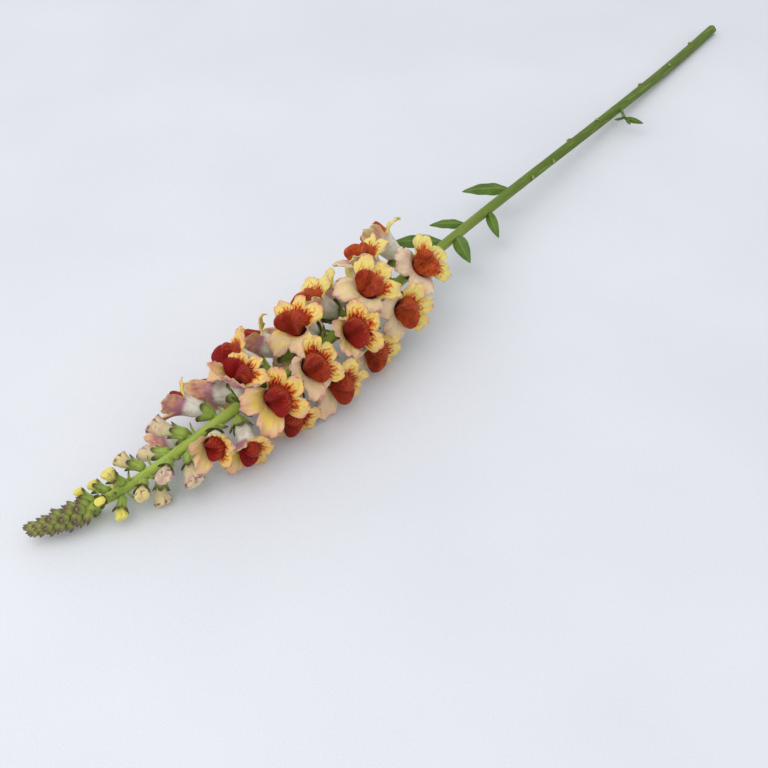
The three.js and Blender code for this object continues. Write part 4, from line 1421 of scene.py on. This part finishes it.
def hairs(root, out):
    """Each hair leans a little and has a length, both at random. One ring of three points round its
    root carries it, and it ends in a point."""
    count = len(root)
    lean = unit(out + 0.5 * draw.normal(size=(count, 3)))
    long = lerp(*HAIR_LENGTHS, draw.random(count))[:, None]
    side = unit(np.cross(lean, [0.3, 0.5, 0.8]))
    other = np.cross(lean, side)
    angle = np.arange(3) * 2 * np.pi / 3
    circle = side[:, None] * np.cos(angle)[:, None] + other[:, None] * np.sin(angle)[:, None]
    ring = root[:, None] + circle * HAIR_RADIUS
    share = triples((root[:, 0] + ORIGIN_X) / STEM_LENGTH, 0, 0 * long[:, 0])
    return make_piece("down", ring[:, None], root, root + lean * (long + HAIR_ROOT), down_white,
                      leaf=(share[:, None, None] + np.zeros((1, 1, 3, 1)), share, share))


def down_paint():
    """Whitish green hairs, paler towards the tip of the spike."""
    paint = Paint("down_white", Roughness=0.5, Subsurface_Weight=0.3, Subsurface_Scale=0.0005)
    along, _, _ = paint.parts("leaf")
    return paint.finish(paint.mix(along.rising(0.0, 0.6), HAIR_PALE, HAIR_GREEN))


down_white = down_paint()
hair_roots = [stem_hair_roots(), wall_hair_roots(cups, CUP_ROWS - 1, CALYX_HAIRS),
              wall_hair_roots(cone_rings, SCALE_ROWS - 1, CONE_HAIRS)]
pieces["down"] = hairs(*(np.concatenate(part) for part in zip(*hair_roots)))
print(STEM_HAIRS + CALYX_HAIRS + CONE_HAIRS, "hairs:", triangles(pieces["down"]), "triangles")

# %% All green pieces stand for the leafy stem
GREEN_PIECES = ["stem", "calyces", "tip_calyces", "bracts", "leaves", "shoot_leaves", "shoot_stalk",
                "leaf_scars", "down"]
for name in GREEN_PIECES:
    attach(pieces[name], "root")
    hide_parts("leafy_stem")
total = sum(triangles(piece) for piece in pieces.values())
print(len(pieces), "pieces with", total, "triangles in all")

# %% [markdown]
# ## Table, light and camera
# The stem lies on a pale, slightly grained table under the soft light of an overcast day. A bright
# world and a large area lamp, above and to the near left, give faint shadows without hard edges. The
# camera looks down by 40 degrees, with the tip of the spike near and to the left and the cut end far
# and to the right.

# %% Table
TABLE_SHADE = rgb(221, 224, 230)
TABLE_LIGHT = rgb(229, 231, 236)
TABLE_RELIEF = 0.0002
FLOOR_HALF = 4.0


def table_paint():
    """Cool white with a faint grain of two sizes."""
    paint = Paint("pale_table", Roughness=0.55)
    grain = paint.noise(900.0, 4.0)
    cloud = paint.noise(6.0)
    colour = paint.mix((cloud * 0.7 + grain * 0.3).rising(0.3, 0.7), TABLE_SHADE, TABLE_LIGHT)
    return paint.finish(colour, grain, TABLE_RELIEF)


corners = np.array([[-1, -1, 0], [1, -1, 0], [1, 1, 0], [-1, 1, 0]]) * FLOOR_HALF
floor_mesh = bpy.data.meshes.new("table")
floor_mesh.from_pydata(corners.tolist(), [], [[0, 1, 2, 3]])
floor_mesh.materials.append(table_paint())
table = bpy.data.objects.new("table", floor_mesh)
bpy.context.scene.collection.objects.link(table)
print("table:", 2 * FLOOR_HALF, "m square")

# %% Light
SKY_COLOUR = (0.95, 0.965, 1.0, 1)
SKY_STRENGTH = 0.82
LAMP_PLACE = (-1.35, 0.25, 1.35)
LAMP_SIZE = 2.4
LAMP_WATTS = 19.0
LAMP_COLOUR = (1.0, 0.98, 0.95)

world = bpy.data.worlds.new("overcast")
world.use_nodes = True
background = world.node_tree.nodes["Background"].inputs
background["Color"].default_value = SKY_COLOUR
background["Strength"].default_value = SKY_STRENGTH
bpy.context.scene.world = world


def area_lamp(name, place, target, size, watts, colour):
    """A square lamp at a place, turned to face a target."""
    lamp = bpy.data.lights.new(name, "AREA")
    lamp.size, lamp.energy, lamp.color = size, watts, colour
    holder = bpy.data.objects.new(name, lamp)
    bpy.context.scene.collection.objects.link(holder)
    holder.matrix_world = facing(place, target)
    return holder


def facing(place, target):
    """A matrix that stands at a place with its -Z towards the target and its X level."""
    back = unit(np.array(place, float) - target)
    right = unit(np.cross([0, 0, 1], back))
    matrix = np.eye(4)
    matrix[:3] = np.stack([right, np.cross(back, right), back, place], -1)
    return Matrix(matrix.tolist())


window = area_lamp("window", LAMP_PLACE, (0, 0, 0), LAMP_SIZE, LAMP_WATTS, LAMP_COLOUR)
print("lamp at", [round(value, 2) for value in window.matrix_world.translation])

# %% Camera
CAMERA_PLACE = np.array([-0.5885, -0.3648, 0.455])
LOOK_DOWN = math.radians(40)
LOOK_FORWARD = np.array([0.7904, 0.6126, 0])
FOCAL_LENGTH = 39.9
SENSOR = 24

lens = bpy.data.cameras.new("camera")
lens.lens, lens.sensor_width = FOCAL_LENGTH, SENSOR
camera = bpy.data.objects.new("camera", lens)
bpy.context.scene.collection.objects.link(camera)
ahead = LOOK_FORWARD * math.cos(LOOK_DOWN) - UPWARDS * math.sin(LOOK_DOWN)
camera.matrix_world = facing(CAMERA_PLACE, CAMERA_PLACE + ahead)
bpy.context.scene.camera = camera
bpy.context.scene.view_settings.view_transform = "Standard"
print("camera", round(math.degrees(LOOK_DOWN)), "degrees down")
